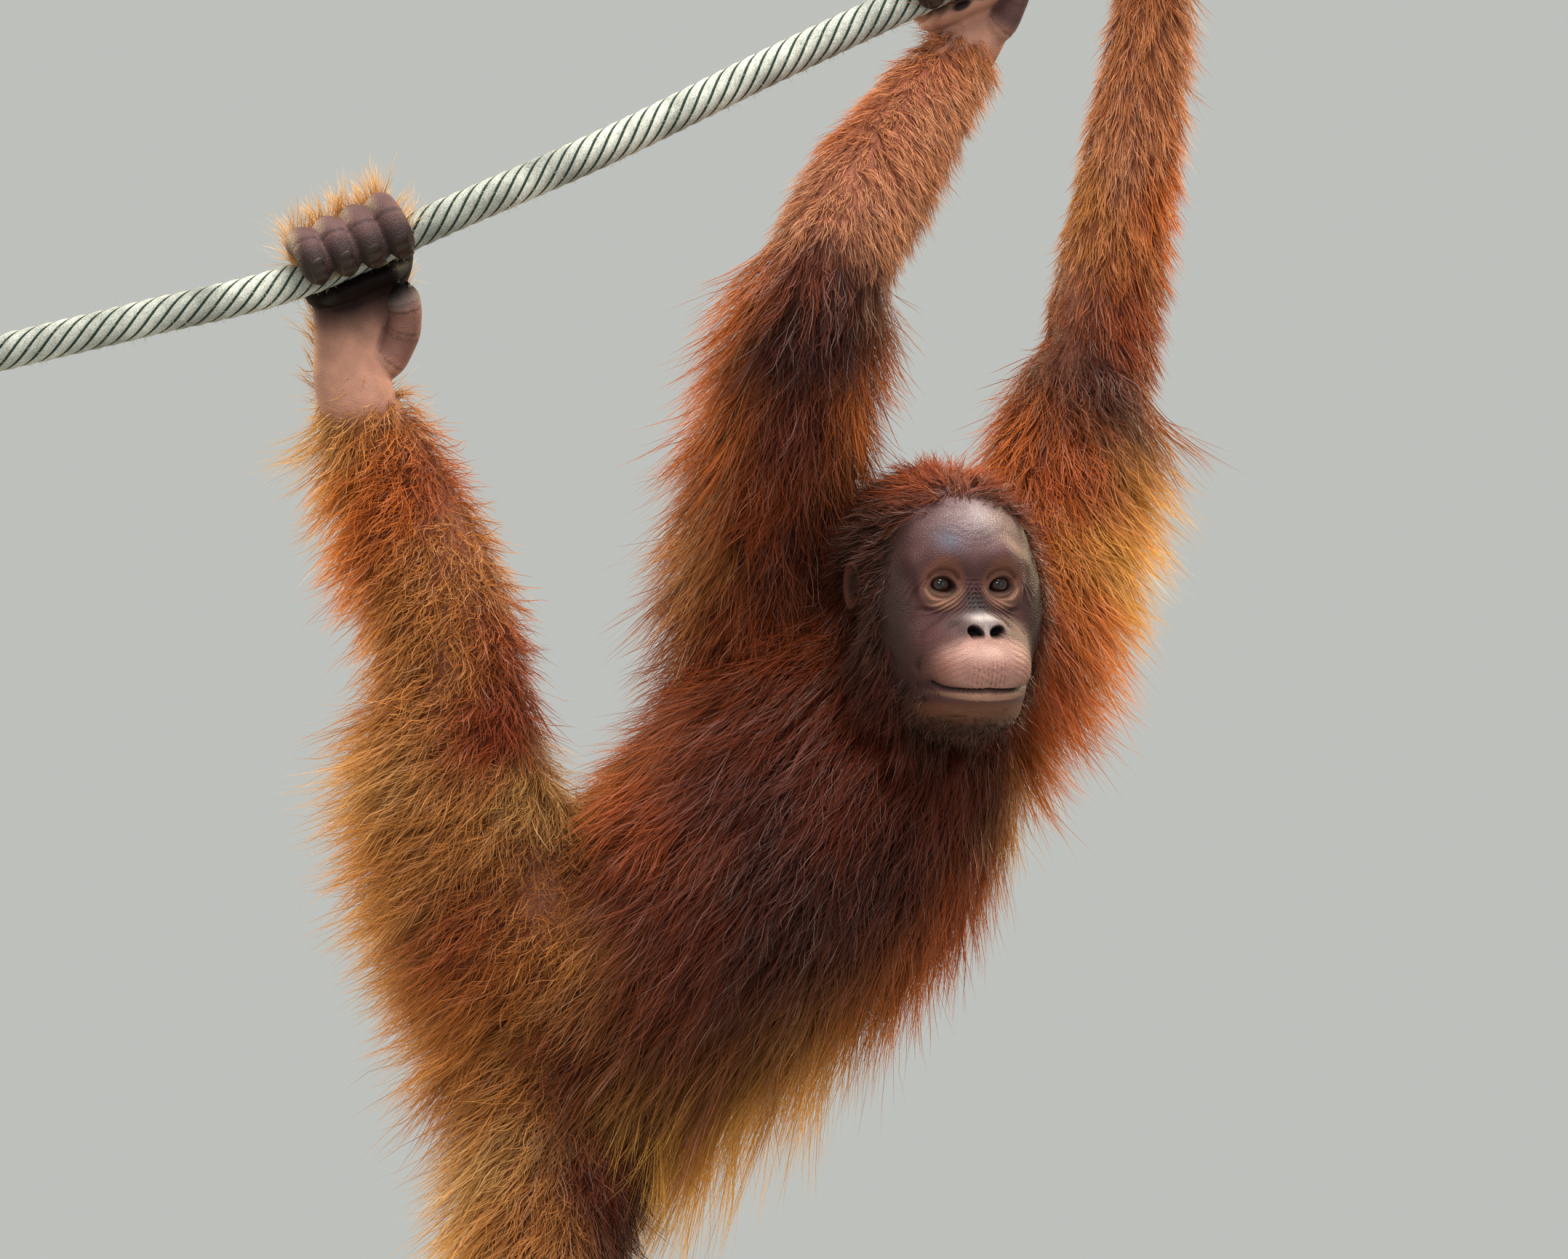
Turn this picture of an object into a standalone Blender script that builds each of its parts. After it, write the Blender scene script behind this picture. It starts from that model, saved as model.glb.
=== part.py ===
"""Young orangutan hanging by both hands and one foot from a cut length of rope.

A still, life-size museum model, held by a flat base and one rod that runs up into the rump.
Metres, +Z up. The animal's front faces -Y. The origin is the middle of the base's underside.
Sizes below are millimetres and are turned to metres where a mesh is made.
"""

import math
import random

import bmesh
import bpy
import numpy as np
from mathutils import Matrix, Vector
from mathutils.bvhtree import BVHTree

MM = 0.001
GAP = 0.3

BASE_CENTRE = Vector((-90, 20))
BASE_SIZE = Vector((760, 560))
BASE_HEIGHT = 30
BASE_EDGE = 6
ROD_RADIUS = 12
ROD_FOOT = Vector((-128, 84))
ROD_TOP = 668

ROPE_RADIUS = 14
ROPE_ROUTE = [
    (-615, -58, 1102), (-480, -52, 1134), (-366, -40, 1163), (-318, -33, 1183), (-272, -27, 1204),
    (-139, -4, 1263), (0, 28, 1332), (122, 57, 1390), (287, 84, 1464), (353, 96, 1493),
]

# Each station of a body form is its centre x, y, z, its half width across the front view
# and its half depth, with the undercoat on.
TORSO = [
    (-216, 14, 604, 34, 34), (-198, 20, 618, 64, 58), (-160, 24, 640, 90, 80),
    (-98, 14, 668, 112, 92), (-26, 4, 716, 132, 100), (29, 2, 766, 136, 98),
    (66, 8, 821, 124, 92), (86, 20, 868, 104, 78), (98, 32, 900, 74, 60), (104, 38, 920, 36, 32),
]
NECK = [
    (84, 22, 850, 84, 70), (94, 14, 884, 90, 78), (104, -2, 916, 88, 80), (110, -16, 944, 70, 66),
    (114, -28, 962, 40, 40),
]
UPPER_ARM_RIGHT = [
    (-2, 36, 880, 62, 60), (-12, 28, 915, 65, 64), (-8, -4, 980, 61, 59), (7, -46, 1055, 58, 56),
    (22, -84, 1128, 57, 53), (32, -101, 1166, 54, 51),
]
FOREARM_RIGHT = [
    (36, -102, 1178, 52, 48), (58, -64, 1220, 54, 47), (84, -8, 1264, 48, 41), (112, 46, 1306, 37, 31),
    (135, 82, 1336, 27, 21),
]
UPPER_ARM_LEFT = [
    (146, 32, 872, 60, 58), (168, 42, 908, 66, 62), (191, 62, 962, 62, 56), (213, 88, 1030, 57, 52),
    (229, 104, 1086, 53, 48),
]
FOREARM_LEFT = [
    (236, 112, 1100, 48, 44), (246, 116, 1160, 48, 42), (258, 114, 1230, 41, 36),
    (271, 112, 1310, 33, 28), (283, 110, 1390, 26, 21),
]
THIGH_RIGHT = [
    (-160, 10, 640, 72, 68), (-186, 2, 676, 78, 70), (-219, -12, 738, 70, 62), (-237, -22, 800, 60, 54),
    (-241, -28, 848, 53, 51),
]
SHIN_RIGHT = [
    (-240, -30, 872, 48, 46), (-250, -25, 916, 49, 45), (-270, -14, 966, 48, 42),
    (-292, -4, 1016, 40, 35), (-310, 3, 1056, 30, 28),
]
THIGH_LEFT = [
    (-136, 30, 622, 68, 62), (-146, 24, 580, 75, 66), (-163, 0, 522, 71, 61), (-174, -28, 466, 64, 56),
    (-180, -50, 414, 55, 50),
]
SHIN_LEFT = [
    (-182, -56, 388, 48, 46), (-183, -54, 350, 47, 44), (-184, -46, 300, 45, 40),
    (-184, -38, 255, 34, 31), (-184, -34, 214, 28, 27),
]

HEAD_CENTRE = Vector((119, -72, 922))
HEAD_TURN = math.radians(20)
EYE_OFFSET = Vector((23.2, 51.5, 12))
EYE_RADIUS = 11.5
LID_THICKNESS = 2.2
HEAD_RINGS, HEAD_SEGMENTS = 70, 96
HEAD_TRIANGLES = 980

LIMB_SIDES, LIMB_STATIONS = 12, 6
TORSO_SIDES, TORSO_STATIONS = 18, 12
NECK_SIDES, NECK_STATIONS = 14, 5
ROPE_SIDES, ROPE_STATIONS = 10, 16

# The coat of each part. Locks are combed one way and a share outward, are longest and stand off
# furthest on the fringe side, and are set in tiers along the part with some around each tier.
COAT_FIELDS = ("comb", "outward", "length", "lift", "fringe", "fringe_lift", "width", "tiers", "around")
COATS = {
    "torso": ((-0.55, -0.05, -0.8), 0.2, 118, 13, (-0.25, 0.3, -0.9), 40, 64, 8, 8),
    "upper_arm_right": ((-0.25, 0.0, -0.9), 0.3, 96, 16, (-1, 0.4, 0), 34, 52, 5, 5),
    "upper_arm_left": ((0.2, 0.0, -0.9), 0.3, 96, 16, (1, 0.2, -0.4), 40, 52, 5, 5),
    "forearm_right": ((-0.1, 0.0, -0.9), 0.2, 70, 7, (-1, 0, 0), 14, 42, 4, 5),
    "forearm_left": ((0.05, 0.0, -0.9), 0.2, 70, 7, (1, 0, 0), 14, 38, 5, 4),
    "thigh_right": ((-0.62, 0.1, -0.6), 0.3, 104, 16, (-1, 0.2, -0.2), 56, 56, 5, 5),
    "shin_right": ((-0.35, 0.1, -0.8), 0.3, 86, 14, (-1, 0.3, 0), 42, 46, 4, 4),
    "thigh_left": ((-0.3, 0.1, -0.85), 0.3, 96, 12, (-1, 0.2, 0), 42, 54, 4, 5),
    "shin_left": ((0.0, 0.1, -0.95), 0.3, 76, 10, (-1, 0.4, 0), 24, 42, 4, 4),
    "neck": ((-0.05, 0.3, -0.85), 0.3, 76, 14, (-1, 0.5, 0), 26, 46, 4, 10),
    "head": ((0.0, 0.75, -0.55), 0.15, 52, 6, (-1, 0.4, -0.3), 12, 36, 1, 60),
}
LOCK_SEED = 11
LOCK_ROOT_DEPTH = 8
LOCK_STEPS = (0.0, 0.36, 0.72, 1.0)
LOCK_WIDTHS = (0.66, 1.0, 0.74)
LOCK_THICKNESS = 0.2
LOCK_TRIES = ((1.0, 1.0), (0.78, 0.8), (0.6, 0.6), (0.45, 0.4))

SKIN = ("bare_skin", "#4a3a38", 0.62)
FACE = ("face_skin", "#5b4846", 0.5)
COAT_RED = ("coat", "#8f4319", 0.8)
COAT_GOLD = ("coat_gold", "#b3702c", 0.8)
COAT_DARK = ("coat_dark", "#5a2415", 0.8)
EYE = ("eye", "#160d0a", 0.08)
ROPE = ("rope", "#a9b3a6", 0.9)
BASE = ("stand_black", "#1d1e20", 0.5)
STEEL = ("stand_steel", "#8c8f93", 0.35)


def clear_scene():
    for thing in list(bpy.data.objects):
        bpy.data.objects.remove(thing)


def linear(hex_colour):
    channels = [int(hex_colour[i : i + 2], 16) / 255 for i in (1, 3, 5)]
    return [c / 12.92 if c <= 0.04045 else ((c + 0.055) / 1.055) ** 2.4 for c in channels]


def material(finish):
    name, colour, roughness = finish
    made = bpy.data.materials.get(name)
    if made is None:
        made = bpy.data.materials.new(name)
        made.use_nodes = True
        shader = made.node_tree.nodes["Principled BSDF"]
        shader.inputs["Base Color"].default_value = (*linear(colour), 1)
        shader.inputs["Roughness"].default_value = roughness
        shader.inputs["Metallic"].default_value = 1.0 if name == "stand_steel" else 0.0
        made.diffuse_color = (*linear(colour), 1)
    return made


def make_collection(name):
    made = bpy.data.collections.new(name)
    bpy.context.scene.collection.children.link(made)
    return made


def object_from(bm, name, finish, home):
    mesh = bpy.data.meshes.new(name)
    bm.to_mesh(mesh)
    bm.free()
    if name != "stand_base":
        mesh.shade_smooth()
    made = bpy.data.objects.new(name, mesh)
    home.objects.link(made)
    mesh.materials.append(material(finish))
    return made


def smooth_row(rows, count):
    """Points at even lengths along a smooth curve through the rows, with their other columns."""
    data = np.array(rows, float)
    steps = np.linalg.norm(np.diff(data[:, :3], axis=0), axis=1)
    knots = np.concatenate([[0], np.cumsum(steps)])
    slopes = np.gradient(data, knots, axis=0)
    found = []
    for s in np.linspace(0, knots[-1], count):
        i = min(int(np.searchsorted(knots, s, side="right")) - 1, len(steps) - 1)
        h = steps[i]
        t = (s - knots[i]) / h
        found.append(
            (2 * t**3 - 3 * t**2 + 1) * data[i]
            + (t**3 - 2 * t**2 + t) * h * slopes[i]
            + (3 * t**2 - 2 * t**3) * data[i + 1]
            + (t**3 - t**2) * h * slopes[i + 1]
        )
    return np.array(found)


def frame_at(points, i):
    """(along, across, deep): unit vectors of the path at point i, with across in the front view."""
    ahead = points[min(i + 1, len(points) - 1)]
    behind = points[max(i - 1, 0)]
    along = Vector(ahead - behind).normalized()
    across = along.cross(Vector((0, 1, 0))).normalized()
    deep = across.cross(along).normalized()
    return along, across, deep


def with_domes(rows, open_end):
    """Adds short rounded ends to a run of sections. An open end stays flat."""
    def dome(end, inner):
        outward = end[:3] - inner[:3]
        outward = outward / np.linalg.norm(outward) * end[3:].mean()
        found = []
        for lift, width in ((0.34, 0.9), (0.58, 0.66), (0.72, 0.3)):
            found.append(np.concatenate([end[:3] + outward * lift, end[3:] * width]))
        return found

    start = dome(rows[0], rows[1])[::-1]
    finish = [] if open_end else dome(rows[-1], rows[-2])
    return np.array([*start, *rows, *finish])


def loft(rows, sides):
    """A closed tube through elliptical sections. The ends are flat."""
    bm = bmesh.new()
    centres = rows[:, :3]
    rings = []
    for i, row in enumerate(rows):
        _, across, deep = frame_at(centres, i)
        middle = Vector(row[:3])
        ring = []
        for k in range(sides):
            angle = 2 * math.pi * k / sides
            corner = middle + across * row[3] * math.cos(angle) + deep * row[4] * math.sin(angle)
            ring.append(bm.verts.new(corner * MM))
        rings.append(ring)
    for first, second in zip(rings, rings[1:]):
        for k in range(sides):
            bm.faces.new((first[k], first[(k + 1) % sides], second[(k + 1) % sides], second[k]))
    bm.faces.new(rings[0][::-1])
    bm.faces.new(rings[-1])
    bmesh.ops.recalc_face_normals(bm, faces=bm.faces)
    bmesh.ops.triangulate(bm, faces=bm.faces)
    return bm


def grown(source, gap):
    """A hidden copy of a form with its surface moved out by the gap, to cut its neighbours with."""
    made = source.copy()
    made.data = source.data.copy()
    CUTTERS.objects.link(made)
    normals = [Vector(v.normal) for v in made.data.vertices]
    for vertex, normal in zip(made.data.vertices, normals):
        vertex.co += normal * gap * MM
    made.hide_render = True
    made.display_type = "WIRE"
    return made


def apply_boolean(target, operation, operand=None, group=None, solver="EXACT"):
    modifier = target.modifiers.new("join", "BOOLEAN")
    modifier.operation = operation
    modifier.solver = solver
    if group is None:
        modifier.object = operand
    else:
        modifier.operand_type = "COLLECTION"
        modifier.collection = group
    bpy.context.view_layer.update()
    graph = bpy.context.evaluated_depsgraph_get()
    mesh = bpy.data.meshes.new_from_object(target.evaluated_get(graph))
    target.modifiers.remove(modifier)
    target.data = mesh


def keep_largest(target):
    """Keeps only the largest closed surface of a node, so that no scrap or sealed hollow stays."""
    bm = bmesh.new()
    bm.from_mesh(target.data)
    bmesh.ops.remove_doubles(bm, verts=bm.verts, dist=0.00002)
    bmesh.ops.dissolve_degenerate(bm, edges=bm.edges, dist=0.00001)
    bmesh.ops.triangulate(bm, faces=bm.faces)
    unseen = set(bm.faces)
    groups = []
    while unseen:
        group, front = set(), [unseen.pop()]
        while front:
            face = front.pop()
            group.add(face)
            for edge in face.edges:
                for other in edge.link_faces:
                    if other in unseen:
                        unseen.discard(other)
                        front.append(other)
        volume = sum(
            f.verts[0].co.dot(f.verts[1].co.cross(f.verts[2].co)) / 6 for f in group
        )
        groups.append((volume, len(groups), group))
    largest = max(groups)[2]
    drop = [f for f in bm.faces if f not in largest]
    bmesh.ops.delete(bm, geom=drop, context="FACES")
    bmesh.ops.delete(bm, geom=[v for v in bm.verts if not v.link_faces], context="VERTS")
    bm.to_mesh(target.data)
    bm.free()


def cut_away(target, cutter):
    apply_boolean(target, "DIFFERENCE", operand=cutter)
    keep_largest(target)


def ellipsoid_distance(points, centre, radii):
    scaled = (points - centre) / radii
    k0 = np.linalg.norm(scaled, axis=1)
    k1 = np.linalg.norm(scaled / radii, axis=1)
    return k0 * (k0 - 1) / np.maximum(k1, 1e-9)


def capsule_distance(points, start, end, radius):
    axis = end - start
    share = np.clip((points - start) @ axis / (axis @ axis), 0, 1)
    return np.linalg.norm(points - start - share[:, None] * axis, axis=1) - radius


def blend_min(a, b, reach):
    h = np.maximum(reach - np.abs(a - b), 0) / reach
    return np.minimum(a, b) - h * h * reach / 4


def blend_cut(a, b, reach):
    return -blend_min(-a, b, reach)


# Head forms: centre, radii and how softly each one joins the rest. x is to the animal's left
# and is mirrored, y is forward and z up, from a point between the ears.
HEAD_FORMS = [
    ((0, -20, 30), (63, 69, 66), 1),
    ((0, 22, 36), (57, 47, 48), 18),
    ((0, 20, -4), (64, 40, 52), 16),
    ((44, 26, -12), (22, 27, 48), 18),
    ((0, 0, -48), (58, 56, 46), 18),
    ((0, 46, -50), (42, 59, 36), 22),
    ((20, 44, -50), (26, 51, 35), 14),
    ((0, 34, -82), (42, 59, 21), 14),
]
MUZZLE_RISE = ((0, 46, 8), 12, (0, 56, -34), 31, 18)
BROW = ((0, 64, 29), (23, 63, 33), (40, 54, 27), 5, 14)
EYE_RIM = ((23.2, 59, 12), 15.5, 2.6, 9)
EYE_HOLLOW = ((23.2, 80, 12), 16.5, 12)
NOSE_WING = ((9, 85, -22), (9, 8, 8.5), 6)
NOSE_SEPTUM = ((0, 78, -13), (0, 90, -30), 4.5, 7)
LOWER_LIP = ((0, 38, -74), (40, 58, 6.5), 6)


def tapered_distance(points, start, start_radius, end, end_radius):
    axis = end - start
    share = np.clip((points - start) @ axis / (axis @ axis), 0, 1)
    radius = start_radius + (end_radius - start_radius) * share
    return np.linalg.norm(points - start - share[:, None] * axis, axis=1) - radius


def head_distance(points):
    """Distance to the head's surface, below zero inside, for points in head millimetres."""
    p = np.array(points, float)
    p[:, 0] = np.abs(p[:, 0])
    found = None
    for centre, radii, reach in HEAD_FORMS:
        form = ellipsoid_distance(p, np.array(centre, float), np.array(radii, float))
        found = form if found is None else blend_min(found, form, reach)
    start, start_radius, end, end_radius, reach = MUZZLE_RISE
    rise = tapered_distance(p, np.array(start, float), start_radius, np.array(end, float), end_radius)
    found = blend_min(found, rise, reach)
    centre, radius, reach = EYE_HOLLOW
    found = blend_cut(found, np.linalg.norm(p - np.array(centre), axis=1) - radius, reach)
    inner, middle, outer, radius, reach = BROW
    for start, end in ((inner, middle), (middle, outer)):
        ridge = capsule_distance(p, np.array(start, float), np.array(end, float), radius)
        found = blend_min(found, ridge, reach)
    centre, ring, tube_radius, reach = EYE_RIM
    q = p - np.array(centre)
    around = np.hypot(q[:, 0], q[:, 2] * 1.12) - ring
    found = blend_min(found, np.hypot(around, q[:, 1]) - tube_radius, reach)
    centre, radii, reach = NOSE_WING
    wing = ellipsoid_distance(p, np.array(centre, float), np.array(radii, float))
    found = blend_min(found, wing, reach)
    start, end, radius, reach = NOSE_SEPTUM
    septum = capsule_distance(p, np.array(start, float), np.array(end, float), radius)
    found = blend_min(found, septum, reach)
    centre, radii, reach = LOWER_LIP
    drawn = p - np.array(centre, float)
    drawn[:, 2] -= (p[:, 0] / 40) ** 2 * 5
    lip = ellipsoid_distance(drawn, np.zeros(3), np.array(radii, float))
    found = blend_min(found, lip, reach)
    lids = np.linalg.norm(p - np.array(EYE_OFFSET), axis=1) - EYE_RADIUS - LID_THICKNESS
    return blend_min(found, lids, 4)


def to_head_surface(directions):
    """How far the head's surface is along each direction from the head's middle."""
    near = np.full(len(directions), 20.0)
    far = np.full(len(directions), 150.0)
    for _ in range(30):
        middle = (near + far) / 2
        inside = head_distance(directions * middle[:, None]) < 0
        near = np.where(inside, middle, near)
        far = np.where(inside, far, middle)
    return near


def head_matrix():
    """Head millimetres to world millimetres."""
    sine, cosine = math.sin(HEAD_TURN), math.cos(HEAD_TURN)
    left, forward = Vector((cosine, sine, 0)), Vector((sine, -cosine, 0))
    turned = Matrix((left, forward, Vector((0, 0, 1)))).transposed().to_4x4()
    return Matrix.Translation(HEAD_CENTRE) @ turned


def in_head(point):
    return head_matrix() @ Vector(point)


def place_in_head(bm):
    for vertex in bm.verts:
        vertex.co = in_head(vertex.co) * MM
    bm.normal_update()
    bmesh.ops.recalc_face_normals(bm, faces=bm.faces)
    bmesh.ops.triangulate(bm, faces=bm.faces)


def ball(centre, radii, segments, rings):
    bm = bmesh.new()
    bmesh.ops.create_uvsphere(bm, u_segments=segments, v_segments=rings, radius=1)
    for vertex in bm.verts:
        vertex.co = Vector(a * b for a, b in zip(vertex.co, radii)) + Vector(centre)
    return bm


def head_form():
    """A fine sphere drawn onto the head's surface, then thinned where the head is plain."""
    bm = ball((0, 0, 0), (1, 1, 1), HEAD_SEGMENTS, HEAD_RINGS)
    for vertex in bm.verts:
        x, y, z = vertex.co
        vertex.co = Vector((x, y + 0.3 * (1 - abs(z)), z)).normalized()
    directions = np.array([v.co for v in bm.verts])
    reach = to_head_surface(directions)
    for vertex, distance in zip(bm.verts, reach):
        vertex.co *= distance
    place_in_head(bm)
    made = object_from(bm, "head", FACE, ANIMAL)
    thinning = made.modifiers.new("thin", "DECIMATE")
    thinning.ratio = HEAD_TRIANGLES / len(made.data.polygons)
    bpy.context.view_layer.update()
    graph = bpy.context.evaluated_depsgraph_get()
    mesh = bpy.data.meshes.new_from_object(made.evaluated_get(graph))
    made.modifiers.remove(thinning)
    made.data = mesh
    return made


def tool(bm, name):
    made = object_from(bm, name, FACE, CUTTERS)
    made.hide_render = True
    made.display_type = "WIRE"
    return made


MOUTH_LINE = [(-38, 80, -63), (-22, 95, -68.5), (0, 102, -70), (22, 95, -68.5), (38, 80, -63)]
MOUTH_DEPTH = 5
NOSTRIL = ((8.4, 93, -24.5), (6.0, 11, 4.8))
EYE_SLIT = ((23.2, 65, 11.5), (9.4, 14, 5.6))


def mouth_cutter():
    """A thin wedge along the mouth line, open to the front and ending inside the lips."""
    bm = bmesh.new()
    rows = []
    line = np.array(MOUTH_LINE, float)
    directions = line / np.linalg.norm(line, axis=1)[:, None]
    for direction, reach in zip(directions, to_head_surface(directions)):
        outer, inner = Vector(direction * reach * 1.1), Vector(direction * (reach - MOUTH_DEPTH))
        half = Vector((0, 0, 1.8))
        rows.append([bm.verts.new(outer + half), bm.verts.new(outer - half), bm.verts.new(inner)])
    for first, second in zip(rows, rows[1:]):
        for k in range(3):
            bm.faces.new((first[k], first[(k + 1) % 3], second[(k + 1) % 3], second[k]))
    bm.faces.new(rows[0])
    bm.faces.new(rows[-1][::-1])
    place_in_head(bm)
    return tool(bm, "mouth_line")


def carve_face(head):
    cut_away(head, mouth_cutter())
    for side in (-1, 1):
        for label, form, segments in (("nostril", NOSTRIL, 8), ("eye_slit", EYE_SLIT, 10)):
            centre = Vector((form[0][0] * side, *form[0][1:]))
            bm = ball(centre, form[1], segments, 6)
            place_in_head(bm)
            cut_away(head, tool(bm, f"{label}_{side}"))
        socket = ball(eye_centre(side), (EYE_RADIUS + GAP,) * 3, 10, 7)
        place_in_head(socket)
        cut_away(head, tool(socket, f"socket_{side}"))


def eye_centre(side):
    return Vector((EYE_OFFSET.x * side, EYE_OFFSET.y, EYE_OFFSET.z))


def eyes():
    made = []
    for side, label in ((-1, "right"), (1, "left")):
        bm = ball(eye_centre(side), (EYE_RADIUS,) * 3, 10, 7)
        place_in_head(bm)
        made.append(object_from(bm, f"eye_{label}", EYE, ANIMAL))
    return made


EAR_MIDDLE = Vector((69, -3, 11))
EAR_HEIGHT, EAR_DEPTH, EAR_WALL = 17.5, 12, 9


def ears(head):
    """Small cupped ears: a shallow bowl standing off the side of the head, hollowed from outside."""
    made = []
    for side, label in ((-1, "right"), (1, "left")):
        middle = Vector((EAR_MIDDLE.x * side, EAR_MIDDLE.y, EAR_MIDDLE.z))
        shell = ball(middle, (EAR_WALL, EAR_DEPTH, EAR_HEIGHT), 9, 6)
        place_in_head(shell)
        ear = object_from(shell, f"ear_{label}", SKIN, ANIMAL)
        cup = ball(middle + Vector((side * 7, 5, 2)), (EAR_WALL, EAR_DEPTH - 3, EAR_HEIGHT - 6), 8, 5)
        place_in_head(cup)
        cut_away(ear, tool(cup, f"ear_cup_{label}"))
        cut_away(ear, grown(head, GAP))
        made.append(ear)
    return made


def build_rope():
    route = smooth_row(ROPE_ROUTE, ROPE_STATIONS)
    rows = np.hstack([route, np.full((len(route), 2), ROPE_RADIUS)])
    return object_from(loft(rows, ROPE_SIDES), "perch_rope", ROPE, STAND)


def rope_at(x):
    """(point on the rope's middle line, its direction) at a place along the front view."""
    route = smooth_row(ROPE_ROUTE, 240)
    i = int(np.argmin(np.abs(route[:, 0] - x)))
    return Vector(route[i]), Vector(route[i + 1] - route[i - 1]).normalized()


def tube(points, radii, sides=5):
    """A closed finger-like form along points, blunt at its tip."""
    rows = np.array([[*p, r, r] for p, r in zip(points, radii)])
    bm = bmesh.new()
    rings = []
    side_guide = Vector(points[-1] - points[0]).cross(Vector(points[len(points) // 2] - points[0]))
    side_guide.normalize()
    for i, row in enumerate(rows):
        ahead = Vector(points[min(i + 1, len(points) - 1)])
        behind = Vector(points[max(i - 1, 0)])
        along = (ahead - behind).normalized()
        first = side_guide - along * side_guide.dot(along)
        first.normalize()
        second = along.cross(first)
        ring = []
        for k in range(sides):
            angle = 2 * math.pi * k / sides
            corner = Vector(row[:3]) + (first * math.cos(angle) + second * math.sin(angle)) * row[3]
            ring.append(bm.verts.new(corner * MM))
        rings.append(ring)
    for lower, upper in zip(rings, rings[1:]):
        for k in range(sides):
            bm.faces.new((lower[k], lower[(k + 1) % sides], upper[(k + 1) % sides], upper[k]))
    bm.faces.new(rings[0][::-1])
    bm.faces.new(rings[-1])
    bm.normal_update()
    bmesh.ops.recalc_face_normals(bm, faces=bm.faces)
    bmesh.ops.triangulate(bm, faces=bm.faces)
    return bm


GRIP_START, GRIP_END = math.radians(196), math.radians(-36)
GRIP_SLACK = 1.2
GRIP_TAPER = (1.06, 1.03, 1.0, 1.05, 0.99, 0.97, 0.94, 0.7)
FINGER_RADIUS = 10.4
TOE_RADIUS = 11
LOOSE_TOE_RADIUS = 9.6


def gripping_digit(grip_x, root, radius):
    """A digit from its root behind the rope, over the top and down the front of it."""
    centre, along = rope_at(grip_x)
    front = (Vector((0, -1, 0)) - along * -along.y).normalized()
    up = along.cross(front)
    if up.z < 0:
        up.negate()
    reach = ROPE_RADIUS + GRIP_SLACK + radius
    points = [Vector(root)]
    for i in range(7):
        angle = GRIP_START + (GRIP_END - GRIP_START) * i / 6
        points.append(centre + (front * math.cos(angle) + up * math.sin(angle)) * reach)
    return tube(points, [radius * s for s in GRIP_TAPER])


def join_pieces(body, pieces):
    group = make_collection("joining")
    for i, bm in enumerate(pieces):
        object_from(bm, f"piece_{i}", SKIN, group)
    apply_boolean(body, "UNION", group=group)
    for piece in list(group.objects):
        bpy.data.objects.remove(piece)
    bpy.data.collections.remove(group)
    keep_largest(body)


def gripping_paw(name, palm_rows, grips, roots, radius, thumb, thumb_radii, rope_cutter):
    """A hand or foot with four digits hooked over the rope and its thumb or big toe beside them."""
    palm = object_from(loft(np.array(palm_rows, float), 10), name, SKIN, ANIMAL)
    digits = [gripping_digit(x, root, radius) for x, root in zip(grips, roots)]
    digits.append(tube([Vector(p) for p in thumb], thumb_radii))
    join_pieces(palm, digits)
    cut_away(palm, rope_cutter)
    return palm


FOOT_RIGHT = [
    (-309, 2, 1044, 23, 21), (-317, 0, 1060, 28, 25), (-326, -3, 1084, 29, 24),
    (-327, 1, 1118, 29, 17), (-323, 6, 1148, 34, 14), (-319, 9, 1170, 35, 12), (-318, 10, 1176, 30, 8),
]
HAND_RIGHT = [
    (130, 76, 1326, 22, 18), (137, 83, 1342, 26, 20), (140, 86, 1362, 33, 18),
    (136, 86, 1385, 35, 14), (132, 87, 1402, 34, 12), (131, 87, 1406, 30, 8),
]
HAND_LEFT = [
    (281, 110, 1380, 22, 18), (284, 110, 1398, 26, 20), (288, 112, 1420, 33, 18),
    (292, 112, 1448, 35, 14), (292, 114, 1468, 34, 12), (292, 114, 1473, 30, 8),
]
FOOT_LEFT = [
    (-183, -34, 228, 20, 20), (-183, -36, 206, 27, 27), (-184, -48, 188, 28, 25),
    (-186, -66, 164, 29, 17), (-188, -92, 140, 33, 14), (-189, -110, 124, 34, 12), (-190, -115, 120, 30, 8),
]


def curled_toe(start, length, radius):
    """A relaxed toe that runs forward and curls down and back at its tip."""
    points, place, pitch = [], Vector(start), math.radians(-38)
    for i in range(7):
        points.append(place.copy())
        place = place + Vector((0, -math.cos(pitch), math.sin(pitch))) * length / 6
        pitch -= math.radians(19)
    return tube(points, [radius * s for s in (1.1, 1.0, 1.05, 0.95, 0.95, 0.85, 0.5)])


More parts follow.
